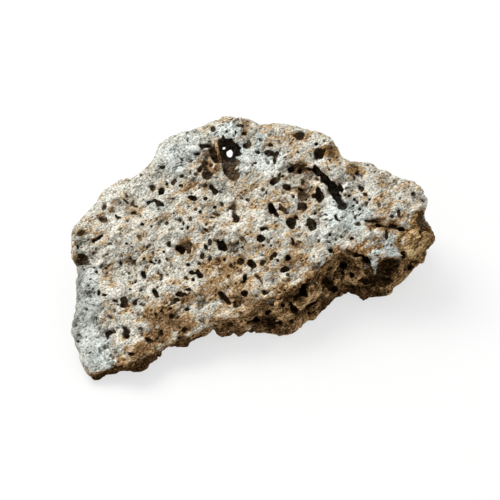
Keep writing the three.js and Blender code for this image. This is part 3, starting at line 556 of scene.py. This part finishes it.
def carve(field, centre, axes, half, rim=VESICLE_RIM, warp=WALL_WARP):
    """Takes a lumpy ellipsoid out of the field."""
    window, points = grid_window(field, centre, max(half) * SWOLLEN + rim)
    part = field[window]
    if part.size == 0:
        return
    scaled = (points - centre) @ np.array(axes).T / half
    r = np.linalg.norm(scaled, axis=1) + TINY
    slope = np.linalg.norm(scaled / half, axis=1) + TINY
    lumpy = 1 + warp * swell(*(points / max(min(half), LEAST_WALL_LUMP)).T, WALL_LUMP)
    outside = r * (r / lumpy - 1) / slope
    if min(half) > GRAINED_FROM:
        grain_height = min(WALL_GRAIN_SHARE * min(half), WALL_GRAIN_HEIGHT)
        outside += grain_height * noise(points, WALL_GRAIN, seed=31)
    outside = np.maximum(outside, -BAND)
    field[window] = blend(part.ravel(), outside.astype(np.float32), rim).reshape(part.shape)


BAR_LUMPS = 0.3  # how much a bar's radius varies along it


def add_bar(field, start, end, radius):
    """Puts a round bar between two points into the field."""
    along = end - start
    window, points = grid_window(field, (start + end) / 2, np.linalg.norm(along) / 2 + radius + 1)
    part = field[window]
    t = np.clip((points - start) @ along / (along @ along), 0, 1)
    off_axis = np.linalg.norm(points - start - t[:, None] * along, axis=1)
    inside = radius * (1 + BAR_LUMPS * noise(points, WALL_GRAIN, seed=33)) - off_axis
    field[window] = np.maximum(part, inside.reshape(part.shape).astype(np.float32))


ABOVE, BENEATH, SEARCH_STEP = 22, -40, 0.2  # values of w on either side of the front's whole surface


def surface_w(field, u, v):
    """The surface's w under (u, v), found by stepping down from above it."""
    for w in np.arange(ABOVE, BENEATH, -SEARCH_STEP):
        index = np.rint((from_layout(u, v, w) - GRID_LOW) / CELL).astype(int)
        if (index >= 0).all() and (index < field.shape).all() and field[tuple(index)] > 0:
            return w
    return None


# How a vesicle sits under the surface: its centre's depth and its reach down, as shares of its depth.
# Its walls then widen below the mouth.
SUNK = 0.36
DOWN = 1 - SUNK
MOUTH = math.sqrt(1 - (SUNK / DOWN) ** 2)  # the mouth's share of the vesicle's width
STEEPEST = 2.2  # vesicles of the broken side reach down as it does, up to this many times deeper


def carve_front_vesicles(field, skin):
    """Takes each front vesicle out of the field where the skin is under its place."""
    for u, v, half_length, half_width, *turn, depth in FRONT_VESICLES:
        w = surface_w(skin, u, v)
        if w is None:
            continue
        below, fall = below_edge(u, v)
        if below > 0:
            depth *= min(math.hypot(1, fall), STEEPEST)
        axes = (*turned(U_AXIS, V_AXIS, *turn), W_AXIS)
        half = np.array([half_length / MOUTH, half_width / MOUTH, depth * DOWN])
        carve(field, from_layout(u, v, w - SUNK * depth), axes, half)


def skin_samples(skin, count):
    """Random points on the surface with their outward directions."""
    near = np.argwhere(np.abs(skin[1:-1, 1:-1, 1:-1]) < CELL / 2) + 1
    picked = near[random.choice(len(near), count)]
    i, j, k = picked.T
    inward = np.stack([skin[i + 1, j, k] - skin[i - 1, j, k], skin[i, j + 1, k] - skin[i, j - 1, k],
                       skin[i, j, k + 1] - skin[i, j, k - 1]], axis=1)
    outward = -inward / (np.linalg.norm(inward, axis=1, keepdims=True) + TINY)
    return picked * CELL + GRID_LOW + random.uniform(-0.5, 0.5, (count, 3)) * CELL, outward


# Scattered vesicles, as (how many over the whole rock, least radius, greatest radius, where).
SCATTER = [
    (2000, 0.32, 0.55, "all"), (650, 0.5, 0.85, "all"), (240, 0.9, 1.7, "rear"), (60, 1.6, 2.8, "rear"),
]
REAR_DEPTH = 4.0  # how far behind the front the rear begins
SCATTER_STRETCH = 1.3  # how much longer than wide the longest are, less 1
SCATTER_TURN = (120, 35)  # mean and spread of the angle that they are drawn out along, in degrees
SCATTER_DEPTH = (0.9, 1.4)  # least and greatest half-depth, as shares of the radius
SCATTER_SUNK = 0.35  # depth of their centres, the same


def carve_scattered_vesicles(field, skin):
    """Takes vesicles out of the field at random places of the skin."""
    for count, least, greatest, where in SCATTER:
        places, outward = skin_samples(skin, count)
        u, v, w = to_layout(places)
        behind = front_height(u, v) - w
        for n, (place, out) in enumerate(zip(places, outward)):
            radius = least + (greatest - least) * random.random() ** 2
            stretch = 1 + SCATTER_STRETCH * random.random() ** 2
            along, _ = turned(U_AXIS, V_AXIS, random.normal(*SCATTER_TURN))
            if where == "rear" and behind[n] < REAR_DEPTH:
                continue
            along -= out * (along @ out)
            along /= np.linalg.norm(along)
            axes = (along, np.cross(out, along), out)
            half = np.array([radius * stretch, radius, radius * random.uniform(*SCATTER_DEPTH)])
            carve(field, place - out * radius * SCATTER_SUNK, axes, half, rim=SMALL_RIM)


# ---- mesh ----


def surface_nets(field):
    """Points (in grid steps) and quads of the closed surface where the field is zero."""
    cubes = np.array(field.shape) - 1
    inside = field > 0
    cube_list, place_list, edges = [], [], []
    for axis in range(3):
        a_part = [slice(None)] * 3
        b_part = [slice(None)] * 3
        a_part[axis], b_part[axis] = slice(None, -1), slice(1, None)
        edge = np.argwhere(inside[tuple(a_part)] != inside[tuple(b_part)])
        step = np.eye(3, dtype=int)[axis]
        a, b = field[tuple(edge.T)], field[tuple((edge + step).T)]
        place = edge + (a / (a - b))[:, None] * step
        one, two = np.eye(3, dtype=int)[(axis + 1) % 3], np.eye(3, dtype=int)[(axis + 2) % 3]
        around = [edge - one - two, edge - two, edge, edge - one]
        keys = [np.ravel_multi_index(cube.T, cubes, mode="clip") for cube in around]
        cube_list += keys
        place_list += [place] * 4
        edges.append((np.stack(keys, axis=1), a > 0))
    keys, places = np.concatenate(cube_list), np.concatenate(place_list)
    active, slot = np.unique(keys, return_inverse=True)
    counts = np.bincount(slot)
    points = np.stack([np.bincount(slot, weights=places[:, n]) / counts for n in range(3)], axis=1)
    quads = []
    for keys, outward in edges:
        quad = np.searchsorted(active, keys)
        quad[~outward] = quad[~outward][:, ::-1]
        quads.append(quad)
    return points, np.concatenate(quads)


def sample(field, points):
    """The field at points, by linear interpolation."""
    grid = (points - GRID_LOW) / CELL
    corner = np.clip(np.floor(grid).astype(int), 0, np.array(field.shape) - 2)
    inside = grid - corner
    total = np.zeros(len(points))
    for step in np.ndindex(2, 2, 2):
        weight = np.where(step, inside, 1 - inside).prod(axis=1)
        total += weight * field[tuple((corner + step).T)]
    return total


def add_object(name, data):
    """A new object in the scene, of a mesh, light or camera."""
    thing = bpy.data.objects.new(name, data)
    bpy.context.collection.objects.link(thing)
    return thing


def mesh_of(name, points, faces):
    """A mesh of faces that all have the same number of corners."""
    mesh = bpy.data.meshes.new(name)
    mesh.vertices.add(len(points))
    mesh.vertices.foreach_set("co", points.astype(np.float32).ravel())
    corners = faces.shape[1]
    mesh.loops.add(faces.size)
    mesh.loops.foreach_set("vertex_index", faces.astype(np.int32).ravel())
    mesh.polygons.add(len(faces))
    mesh.polygons.foreach_set("loop_start", np.arange(0, faces.size, corners, dtype=np.int32))
    mesh.update(calc_edges=True)
    mesh.validate()
    return mesh


# ---- rock ----

MOST_TRIANGLES = 190_000
THIN_LEVELS = 5  # steps in which the mesh's thinning goes from least to most


def decimated(mesh, weights):
    """The mesh with at most MOST_TRIANGLES triangles, thinned most where the weights are high."""
    piece = add_object("fine", mesh)
    group = piece.vertex_groups.new(name="thin")
    level = np.clip(np.rint(weights * THIN_LEVELS), 0, THIN_LEVELS).astype(int)
    for n in range(1, THIN_LEVELS + 1):
        group.add(np.nonzero(level == n)[0].tolist(), n / THIN_LEVELS, "REPLACE")
    thin = piece.modifiers.new("thin", "DECIMATE")
    thin.ratio = MOST_TRIANGLES / (2 * len(mesh.polygons))
    thin.use_collapse_triangulate = True
    thin.vertex_group = "thin"
    thin.vertex_group_factor = 1.0
    graph = bpy.context.evaluated_depsgraph_get()
    result = bpy.data.meshes.new_from_object(piece.evaluated_get(graph))
    bpy.data.objects.remove(piece)
    return result


def vertex_vectors(mesh, kind):
    """One vector for each vertex: its place for "co", its direction outward for "normal"."""
    flat = np.empty(3 * len(mesh.vertices), dtype=np.float32)
    mesh.vertices.foreach_get(kind, flat)
    return flat.reshape(-1, 3).astype(float)


def biggest_part(points, faces):
    """The faces of the largest connected part, with its points: loose crumbs are left out."""
    label = np.arange(len(points))
    while True:
        least = label[faces].min(axis=1)
        new = label.copy()
        np.minimum.at(new, faces.ravel(), np.repeat(least, faces.shape[1]))
        new = new[new]
        if (new == label).all():
            break
        label = new
    names, counts = np.unique(label, return_counts=True)
    keep = label == names[counts.argmax()]
    renumber = np.cumsum(keep) - 1
    return points[keep], renumber[faces[keep[faces].all(axis=1)]]


def fit_to_box(points):
    """The scale and shift that take the field's frame to the CAD's, in metres, filling the CAD box."""
    low, high = points.min(axis=0), points.max(axis=0)
    box_low, box_high = (np.array(corner) for corner in CAD_BOX)
    scale = (box_high - box_low) / (high - low)
    return scale, box_low - low * scale


def add_value(mesh, name, values):
    """Gives each vertex a number that the material reads by its name."""
    layer = mesh.attributes.new(name, "FLOAT", "POINT")
    layer.data.foreach_set("value", values.astype(np.float32))


def soft_step(values, low, high):
    """0 below `low`, 1 above `high`, smooth between."""
    t = np.clip((values - low) / (high - low), 0, 1)
    return t * t * (3 - 2 * t)


# How the colours lie on the stone. A pair is where a soft change begins and ends, in millimetres.
PATCH_EDGE = (0.55, 1.35)  # of a patch, but in its half-sizes
FRAY = [(4.5, 2.2, 1.6), (1.6, 0.9, 0.9)]  # how patches wander, as (size, reach along u, reach along v)
FACE_BACK = (7, 13)  # behind the front, where the face's colours give way to the rear's
REAR_STAIN = (-0.25, 0.75)  # the same in the noise that stains the rear
LEFT_TO_MIDDLE, MIDDLE_TO_RIGHT = (-34, -14), (24, 34)  # along u
EVEN_STAIN, MIDDLE_STAIN, RIGHT_STAIN_LOSS = 0.26, 0.16, 0.14
EDGE_STAIN, EDGE_BAND, EDGE_BAND_FRAY = 1.1, (-3.5, -0.5), 1.2  # the band along the face's lower edge
EDGE_BAND_END = (20, 26)  # along u
BROKEN_START, BROKEN_WHOLE = -0.8, 0.9  # the broken side's colour, below the edge
WORN_EDGE, WORN_FROM = 4, (26, 34)  # how far up the edge is worn at the right, and where in u
CLOSE_REACHES, CLOSEST = (0.8, 1.6, 3.2), 1.4  # how far out stone is felt for, and the most it counts


def patches(u, v, rows):
    """Soft patches: a row's strength in the middle of its ellipse, near 0 outside it."""
    strongest = np.zeros(u.shape)
    for row in rows:
        p, q, strength = in_ellipse(u, v, row)
        strongest = np.maximum(strongest, strength * (1 - soft_step(np.hypot(p, q), *PATCH_EDGE)))
    return strongest


def closeness(field, points, outward):
    """0 on open stone, rising to 1 where other stone closes in round the point: ambient occlusion, which the
    material paints as shade.
    """
    total = np.zeros(len(points))
    for reach in CLOSE_REACHES:
        clear = -sample(field, points + outward * reach)
        total += np.clip(1 - clear / reach, 0, CLOSEST)
    return total / len(CLOSE_REACHES)


def face_stain(u, v, drawn):
    """Stain that covers the face evenly, and the warmer band along its lower edge."""
    middle, right = soft_step(u, *LEFT_TO_MIDDLE), soft_step(u, *MIDDLE_TO_RIGHT)
    even = EVEN_STAIN + MIDDLE_STAIN * middle - RIGHT_STAIN_LOSS * right
    below = below_edge(u, v)[0] + EDGE_BAND_FRAY * noise(drawn, 3.0, seed=28)
    band = EDGE_STAIN * soft_step(below, *EDGE_BAND) * (1 - soft_step(u, *EDGE_BAND_END))
    return np.maximum(band, even)


def add_colour_values(mesh, points, skin, field):
    """Where the stone is stained, bare, broken, shut in or deep in a vesicle, for the material."""
    u, v, w = to_layout(points)
    drawn = along_flow(u, v, w)
    frayed_u, frayed_v = u, v
    for seed, (size, reach_u, reach_v) in enumerate(FRAY, 21):
        frayed_u = frayed_u + reach_u * noise(drawn, size, seed)
        frayed_v = frayed_v + reach_v * noise(drawn, size, seed + len(FRAY))

    def on_patches(rows):
        return patches(frayed_u, frayed_v, rows)

    on_face = 1 - soft_step(front_height(u, v) - w, *FACE_BACK)  # 0 on the sides and the back
    cloud = noise(drawn, 7.0, seed=25) + 0.5 * noise(drawn, 3.0, seed=26)
    stain = np.maximum(on_patches(STAIN), face_stain(u, v, drawn))
    add_value(mesh, "stain", on_face * stain + (1 - on_face) * soft_step(cloud, *REAR_STAIN))
    for name, rows in (("amber", AMBER), ("bare", BARE), ("painted_shade", PAINTED_SHADE)):
        add_value(mesh, name, on_face * on_patches(rows))
    below, _ = below_edge(u, v)
    start = BROKEN_START - WORN_EDGE * soft_step(u, *WORN_FROM)
    broken = soft_step(below + noise(drawn, 2.2, seed=27), start, BROKEN_WHOLE) * (1 - on_patches(LIP))
    add_value(mesh, "broken", on_face * broken)
    add_value(mesh, "sunk", sample(skin, points))
    add_value(mesh, "close", closeness(field, points, vertex_vectors(mesh, "normal")))


FACE_THINNING, SIDE_THINNING, REAR_EXTRA = 0.12, 0.5, 1.5  # the last is what facing back adds
HIGHEST_CREST = 1.2
PASSAGE_WARP = 0.06


def build_rock():
    """The rock's finished mesh, and the place that the layout plane's origin has in it."""
    smooth = coarse_field()
    skin = smooth.copy()
    add_fine_relief(skin)
    field = skin.copy()
    carve_front_vesicles(field, skin)
    for *ends, radius in BARS:
        start, end = (from_layout(u, v, surface_w(skin, u, v) - depth) for u, v, depth in ends)
        add_bar(field, start, end, radius)
    for u, v, w, *half in PASSAGES:
        axes = (U_AXIS, V_AXIS, W_AXIS)
        carve(field, from_layout(u, v, w), axes, np.array(half), warp=PASSAGE_WARP)
    carve_scattered_vesicles(field, skin)
    height = np.arange(field.shape[2]) * CELL + GRID_LOW[2]
    np.minimum(field, height, out=field)  # flat where it meets the ground
    grid_points, quads = surface_nets(field)
    points, quads = biggest_part(grid_points * CELL + GRID_LOW, quads)
    fine = mesh_of("fine_rock", points, quads)
    facing = vertex_vectors(fine, "normal") @ W_AXIS
    mesh = decimated(fine, np.clip(SIDE_THINNING - REAR_EXTRA * facing, FACE_THINNING, 1))
    points = vertex_vectors(mesh, "co")
    add_colour_values(mesh, points, skin, field)
    # Height over the smooth rock, which the material paints as light on crests and shade in hollows.
    add_value(mesh, "crest", np.clip(-sample(smooth, points), -HIGHEST_CREST, HIGHEST_CREST))
    scale, shift = fit_to_box(points)
    mesh.vertices.foreach_set("co", (points * scale + shift).astype(np.float32).ravel())
    mesh.update()
    mesh.shade_smooth()
    return mesh, from_layout(0, 0, 0) * scale + shift


# ---- material ----


def linear(r, g, b):
    """A colour given as it looks, 0 to 255, as the renderer's linear numbers."""
    looks = (c / 255 for c in (r, g, b))
    return *(((c + 0.055) / 1.055) ** 2.4 if c > 0.04045 else c / 12.92 for c in looks), 1


class Nodes:
    """Short ways to add nodes to a material. A value is a number, a colour or another node's output."""

    def __init__(self, material):
        material.use_nodes = True
        self.tree = material.node_tree
        self.shader = self.tree.nodes["Principled BSDF"]

    def feed(self, socket, value):
        if isinstance(value, bpy.types.NodeSocket):
            self.tree.links.new(value, socket)
        else:
            socket.default_value = value

    def add(self, kind, inputs, **settings):
        node = self.tree.nodes.new("ShaderNode" + kind)
        for name, value in settings.items():
            setattr(node, name, value)
        for key, value in inputs.items():
            self.feed(node.inputs[key], value)
        return node

    def math(self, operation, a, b, c=0.0):
        return self.add("Math", {0: a, 1: b, 2: c}, operation=operation).outputs[0]

    def step(self, value, low, high):
        """0 below `low`, 1 above `high`, smooth between."""
        inputs = {"Value": value, "From Min": low, "From Max": high}
        return self.add("MapRange", inputs, interpolation_type="SMOOTHSTEP").outputs["Result"]

    def mix(self, factor, a, b, blend_type="MIX"):
        """Two colours mixed: sockets 6, 7 and 2 are the node's colour ones."""
        node = self.add("Mix", {0: factor, 6: a, 7: b}, data_type="RGBA", blend_type=blend_type)
        return node.outputs[2]

    def ramp(self, factor, stops):
        node = self.add("ValToRGB", {"Fac": factor})
        elements = node.color_ramp.elements
        for n, (place, colour) in enumerate(stops):
            if n == len(elements) - 1 and n < len(stops) - 1:
                elements.new(place)
            elements[n].position = place
            elements[n].color = linear(*colour)
        return node.outputs["Color"]

    def noise(self, vector, size, detail, roughness):
        inputs = {"Vector": vector, "Scale": 1 / size, "Detail": detail, "Roughness": roughness}
        return self.add("TexNoise", inputs).outputs["Fac"]

    def cell_distance(self, vector, size):
        """Distance to the nearest of points strewn `size` apart, as a share of `size`."""
        return self.add("TexVoronoi", {"Vector": vector, "Scale": 1 / size}).outputs["Distance"]

    def value(self, name):
        """The vertices' number of that name."""
        return self.add("Attribute", {}, attribute_name=name).outputs["Fac"]

    def flow_coordinates(self):
        """Millimetres along the flow (squeezed), across it and out of the face."""
        place = self.add("TexCoord", {}).outputs["Object"]
        axes = np.array([*turned(U_AXIS, V_AXIS, FLOW_TURN), W_AXIS])
        turn = Matrix(axes.T.tolist()).to_euler()
        inputs = {"Vector": place, "Rotation": turn, "Scale": (MM * FLOW_STRETCH, MM, MM)}
        return self.add("Mapping", inputs, vector_type="TEXTURE").outputs[0]


# Colours of each kind of stone, from crevice to crest of the grain.
TONE_PLACES = (0.355, 0.45, 0.548, 0.65)
GREY = ((70, 66, 57), (154, 151, 139), (217, 215, 205), (248, 247, 241))
BLUISH = ((78, 81, 76), (157, 162, 157), (216, 221, 215), (246, 248, 244))
TAN = ((50, 36, 20), (131, 103, 68), (191, 163, 122), (236, 219, 190))
DARK_TAN = ((34, 23, 13), (90, 66, 42), (142, 111, 78), (204, 176, 138))
AMBER_TONES = ((40, 28, 15), (102, 77, 46), (162, 130, 86), (224, 198, 150))
# The broken side's own brown, kept darker as painted shade of a side that faces down, away from the light.
BROWN = ((26, 18, 10), (78, 57, 34), (144, 110, 71), (204, 173, 131))
# Walls of a vesicle from its mouth down, as (millimetres, colour): their own brown, darkened with depth as
# painted shade.
CAVITY = [(0.3, (158, 126, 88)), (1.5, (136, 104, 68)), (3.5, (118, 88, 56)), (8.0, (74, 55, 34))]
WALL_SHADES = ((70, 68, 64), (150, 147, 142), (212, 210, 206), (255, 255, 255))
# Painted shade, put into the pores and where other stone closes in round the surface.
CREVICE_SHADE = (38, 27, 16)
PAINTED_SHADE_TONE = (118, 108, 96)
# Layers over the grey stone, as (vertex value, where it begins, where it is whole, fray, tones).
LAYERS = [
    ("stain", 0.1, 1.1, 5.0, TAN), ("stain", 0.7, 1.5, 4.0, DARK_TAN), ("bare", 0.2, 0.9, 2.0, BLUISH),
    ("broken", 0.2, 0.8, 2.5, BROWN), ("amber", 0.3, 0.9, 3.0, AMBER_TONES),
]
GRAIN_SIZE, BLOTCH_SIZE, SPECKLE_SIZE, PORE_SPACING = 1.3, 2.6, 0.45, 1.15  # in millimetres
SPECKLE_SHARE, BLOTCH_SHARE = 0.62, 0.75  # in the tone and in the mottle, the rest being grain
BROKEN_CONTRAST = 0.25  # how much more the broken stone's tones differ
CREST_TONE, BROKEN_CREST_TONE = 0.055, 0.05  # how much lighter a crest is and darker a hollow, as painted highlight and shade, and what broken stone adds
PORE_FROM, PORE_SIZE, PORE_EDGE = (0.4, 0.65), 0.34, (-0.02, 0.1)  # pores come in the blotches, each painted dark as the shade inside a tiny hole
WALL_FROM, SHUT_FROM = (0.3, 1.0), (0.35, 1.1)
PORE_MIX, WALL_MIX, PAINTED_SHADE_MIX, SHUT_MIX = 0.85, 0.85, 0.88, 0.6
BUMP_HEIGHT, SPECKLE_BUMP, PORE_BUMP = 0.8 * MM, 0.5, 0.5
ROUGHNESS = 0.88


def rock_material():
    """Stone whose tones, stains and pores follow the flow and the vertices' values."""
    material = bpy.data.materials.new("lava_stone")
    nodes = Nodes(material)
    flow = nodes.flow_coordinates()
    grain = nodes.noise(flow, GRAIN_SIZE, detail=6, roughness=0.72)
    blotch = nodes.noise(flow, BLOTCH_SIZE, detail=3, roughness=0.55)
    speckle = nodes.noise(flow, SPECKLE_SIZE, detail=3, roughness=0.65)

    def with_grain(pattern, part):
        return nodes.math("MULTIPLY_ADD", pattern, part, nodes.math("MULTIPLY", grain, 1 - part))

    mottle = nodes.math("SUBTRACT", with_grain(blotch, BLOTCH_SHARE), 0.5)
    broken = nodes.value("broken")
    contrast = nodes.math("MULTIPLY_ADD", broken, BROKEN_CONTRAST, 1.0)
    tone = nodes.math("SUBTRACT", with_grain(speckle, SPECKLE_SHARE), 0.5)
    tone = nodes.math("MULTIPLY_ADD", tone, contrast, 0.5)
    # Painted highlight on crests and painted shade in hollows.
    crest_light_and_shade = nodes.math("MULTIPLY_ADD", broken, BROKEN_CREST_TONE, CREST_TONE)
    tone = nodes.math("MULTIPLY_ADD", nodes.value("crest"), crest_light_and_shade, tone)

    def tones(colours):
        return nodes.ramp(tone, list(zip(TONE_PLACES, colours)))

    def share(name, low, high, fray):
        """A vertex value as a mask with its edge broken up by the mottle."""
        return nodes.step(nodes.math("MULTIPLY_ADD", mottle, fray, nodes.value(name)), low, high)

    colour = tones(GREY)
    for name, low, high, fray, colours in LAYERS:
        colour = nodes.mix(share(name, low, high, fray), colour, tones(colours))

    # Tiny pores: a dip in the bump, and painted shade inside them.
    pore_size = nodes.math("MULTIPLY", nodes.step(blotch, *PORE_FROM), PORE_SIZE)
    pore_depth = nodes.math("SUBTRACT", pore_size, nodes.cell_distance(flow, PORE_SPACING))
    pore = nodes.step(pore_depth, *PORE_EDGE)
    colour = nodes.mix(nodes.math("MULTIPLY", pore, PORE_MIX), colour, linear(*CREVICE_SHADE))

    # Vesicle walls: their own brown, with painted shade that deepens down the wall.
    sunk = nodes.value("sunk")
    deepest = CAVITY[-1][0]
    wall = nodes.ramp(nodes.math("DIVIDE", sunk, deepest), [(mm / deepest, look) for mm, look in CAVITY])
    wall = nodes.mix(1.0, wall, tones(WALL_SHADES), "MULTIPLY")
    colour = nodes.mix(nodes.math("MULTIPLY", nodes.step(sunk, *WALL_FROM), WALL_MIX), colour, wall)
    # Painted shade: these patches darken the colour towards a grey-brown.
    painted_shade = nodes.math("MULTIPLY", share("painted_shade", 0.1, 1.0, 1.5), PAINTED_SHADE_MIX)
    colour = nodes.mix(painted_shade, colour, nodes.mix(1.0, colour, linear(*PAINTED_SHADE_TONE), "MULTIPLY"))
    # Painted shade where other stone closes in round the surface.
    shut = nodes.math("MULTIPLY", nodes.step(nodes.value("close"), *SHUT_FROM), SHUT_MIX)
    colour = nodes.mix(shut, colour, linear(*CREVICE_SHADE))
    nodes.feed(nodes.shader.inputs["Base Color"], colour)

    height = nodes.math("MULTIPLY_ADD", speckle, SPECKLE_BUMP, grain)
    height = nodes.math("SUBTRACT", height, nodes.math("MULTIPLY", pore, PORE_BUMP))
    bump = nodes.add("Bump", {"Height": height, "Strength": 1.0, "Distance": BUMP_HEIGHT})
    nodes.feed(nodes.shader.inputs["Normal"], bump.outputs[0])
    nodes.shader.inputs["Roughness"].default_value = ROUGHNESS
    nodes.shader.inputs["Specular IOR Level"].default_value = 0.0
    return material


# ---- floor, light and camera ----

PHOTO_PIXELS = 500
PIXELS_PER_MM = 3.035
LENS, SENSOR = 200.0, 36.0
FLOOR_SIZE, FLOOR_ALBEDO = 6.0, (0.22, 0.22, 0.22, 1)
FLOOR_GLOW = 0.64  # holds the floor near white, so that the rock's shadow on it stays faint
ROOM_COLOUR = (0.98, 0.99, 1.0, 1)
KEY_DIRECTION, KEY_DISTANCE, KEY_SIZE = (-0.42, 0.3, 0.86), 1.0, 0.6  # from the frame's origin, in metres
KEY_POWER, KEY_COLOUR = 10, (1, 0.985, 0.95)


def add_floor():
    """A plain, nearly white floor."""
    bpy.ops.mesh.primitive_plane_add(size=FLOOR_SIZE, location=(0, 0, 0))
    floor = bpy.context.object
    floor.name = "floor"
    material = bpy.data.materials.new("floor")
    shader = Nodes(material).shader
    looks = {"Base Color": FLOOR_ALBEDO, "Roughness": 1.0, "Specular IOR Level": 0.0,
             "Emission Color": (1, 1, 1, 1), "Emission Strength": FLOOR_GLOW}
    for name, value in looks.items():
        shader.inputs[name].default_value = value
    floor.data.materials.append(material)


def add_camera(target):
    """A camera that looks at the face straight on, with the target in the middle of the picture."""
    camera = bpy.data.cameras.new("camera")
    camera.lens, camera.sensor_width = LENS, SENSOR
    camera.clip_start = 0.01
    distance = PHOTO_PIXELS / PIXELS_PER_MM * MM * LENS / SENSOR
    holder = add_object("camera", camera)
    toward = Vector(W_AXIS)
    holder.location = Vector(target) + distance * toward
    holder.rotation_euler = toward.to_track_quat("Z", "Y").to_euler()
    bpy.context.scene.camera = holder


def light_room():
    """Even light from all round, and a soft square key light from the upper left."""
    world = bpy.data.worlds.new("studio")
    world.use_nodes = True
    background = world.node_tree.nodes["Background"]
    background.inputs["Color"].default_value = ROOM_COLOUR
    background.inputs["Strength"].default_value = 1.0
    bpy.context.scene.world = world
    light = bpy.data.lights.new("key", "AREA")
    light.size, light.energy, light.color = KEY_SIZE, KEY_POWER, KEY_COLOUR
    lamp = add_object("key", light)
    lamp.location = Vector(KEY_DIRECTION).normalized() * KEY_DISTANCE
    lamp.rotation_euler = lamp.location.to_track_quat("Z", "Y").to_euler()
    bpy.context.scene.view_settings.view_transform = "Standard"


rock_mesh, layout_origin = build_rock()
rock = add_object("lava_rock_surface", rock_mesh)
rock.data.materials.append(rock_material())
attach(rock, "root")
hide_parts("lava_rock")

add_floor()
light_room()
add_camera(layout_origin)
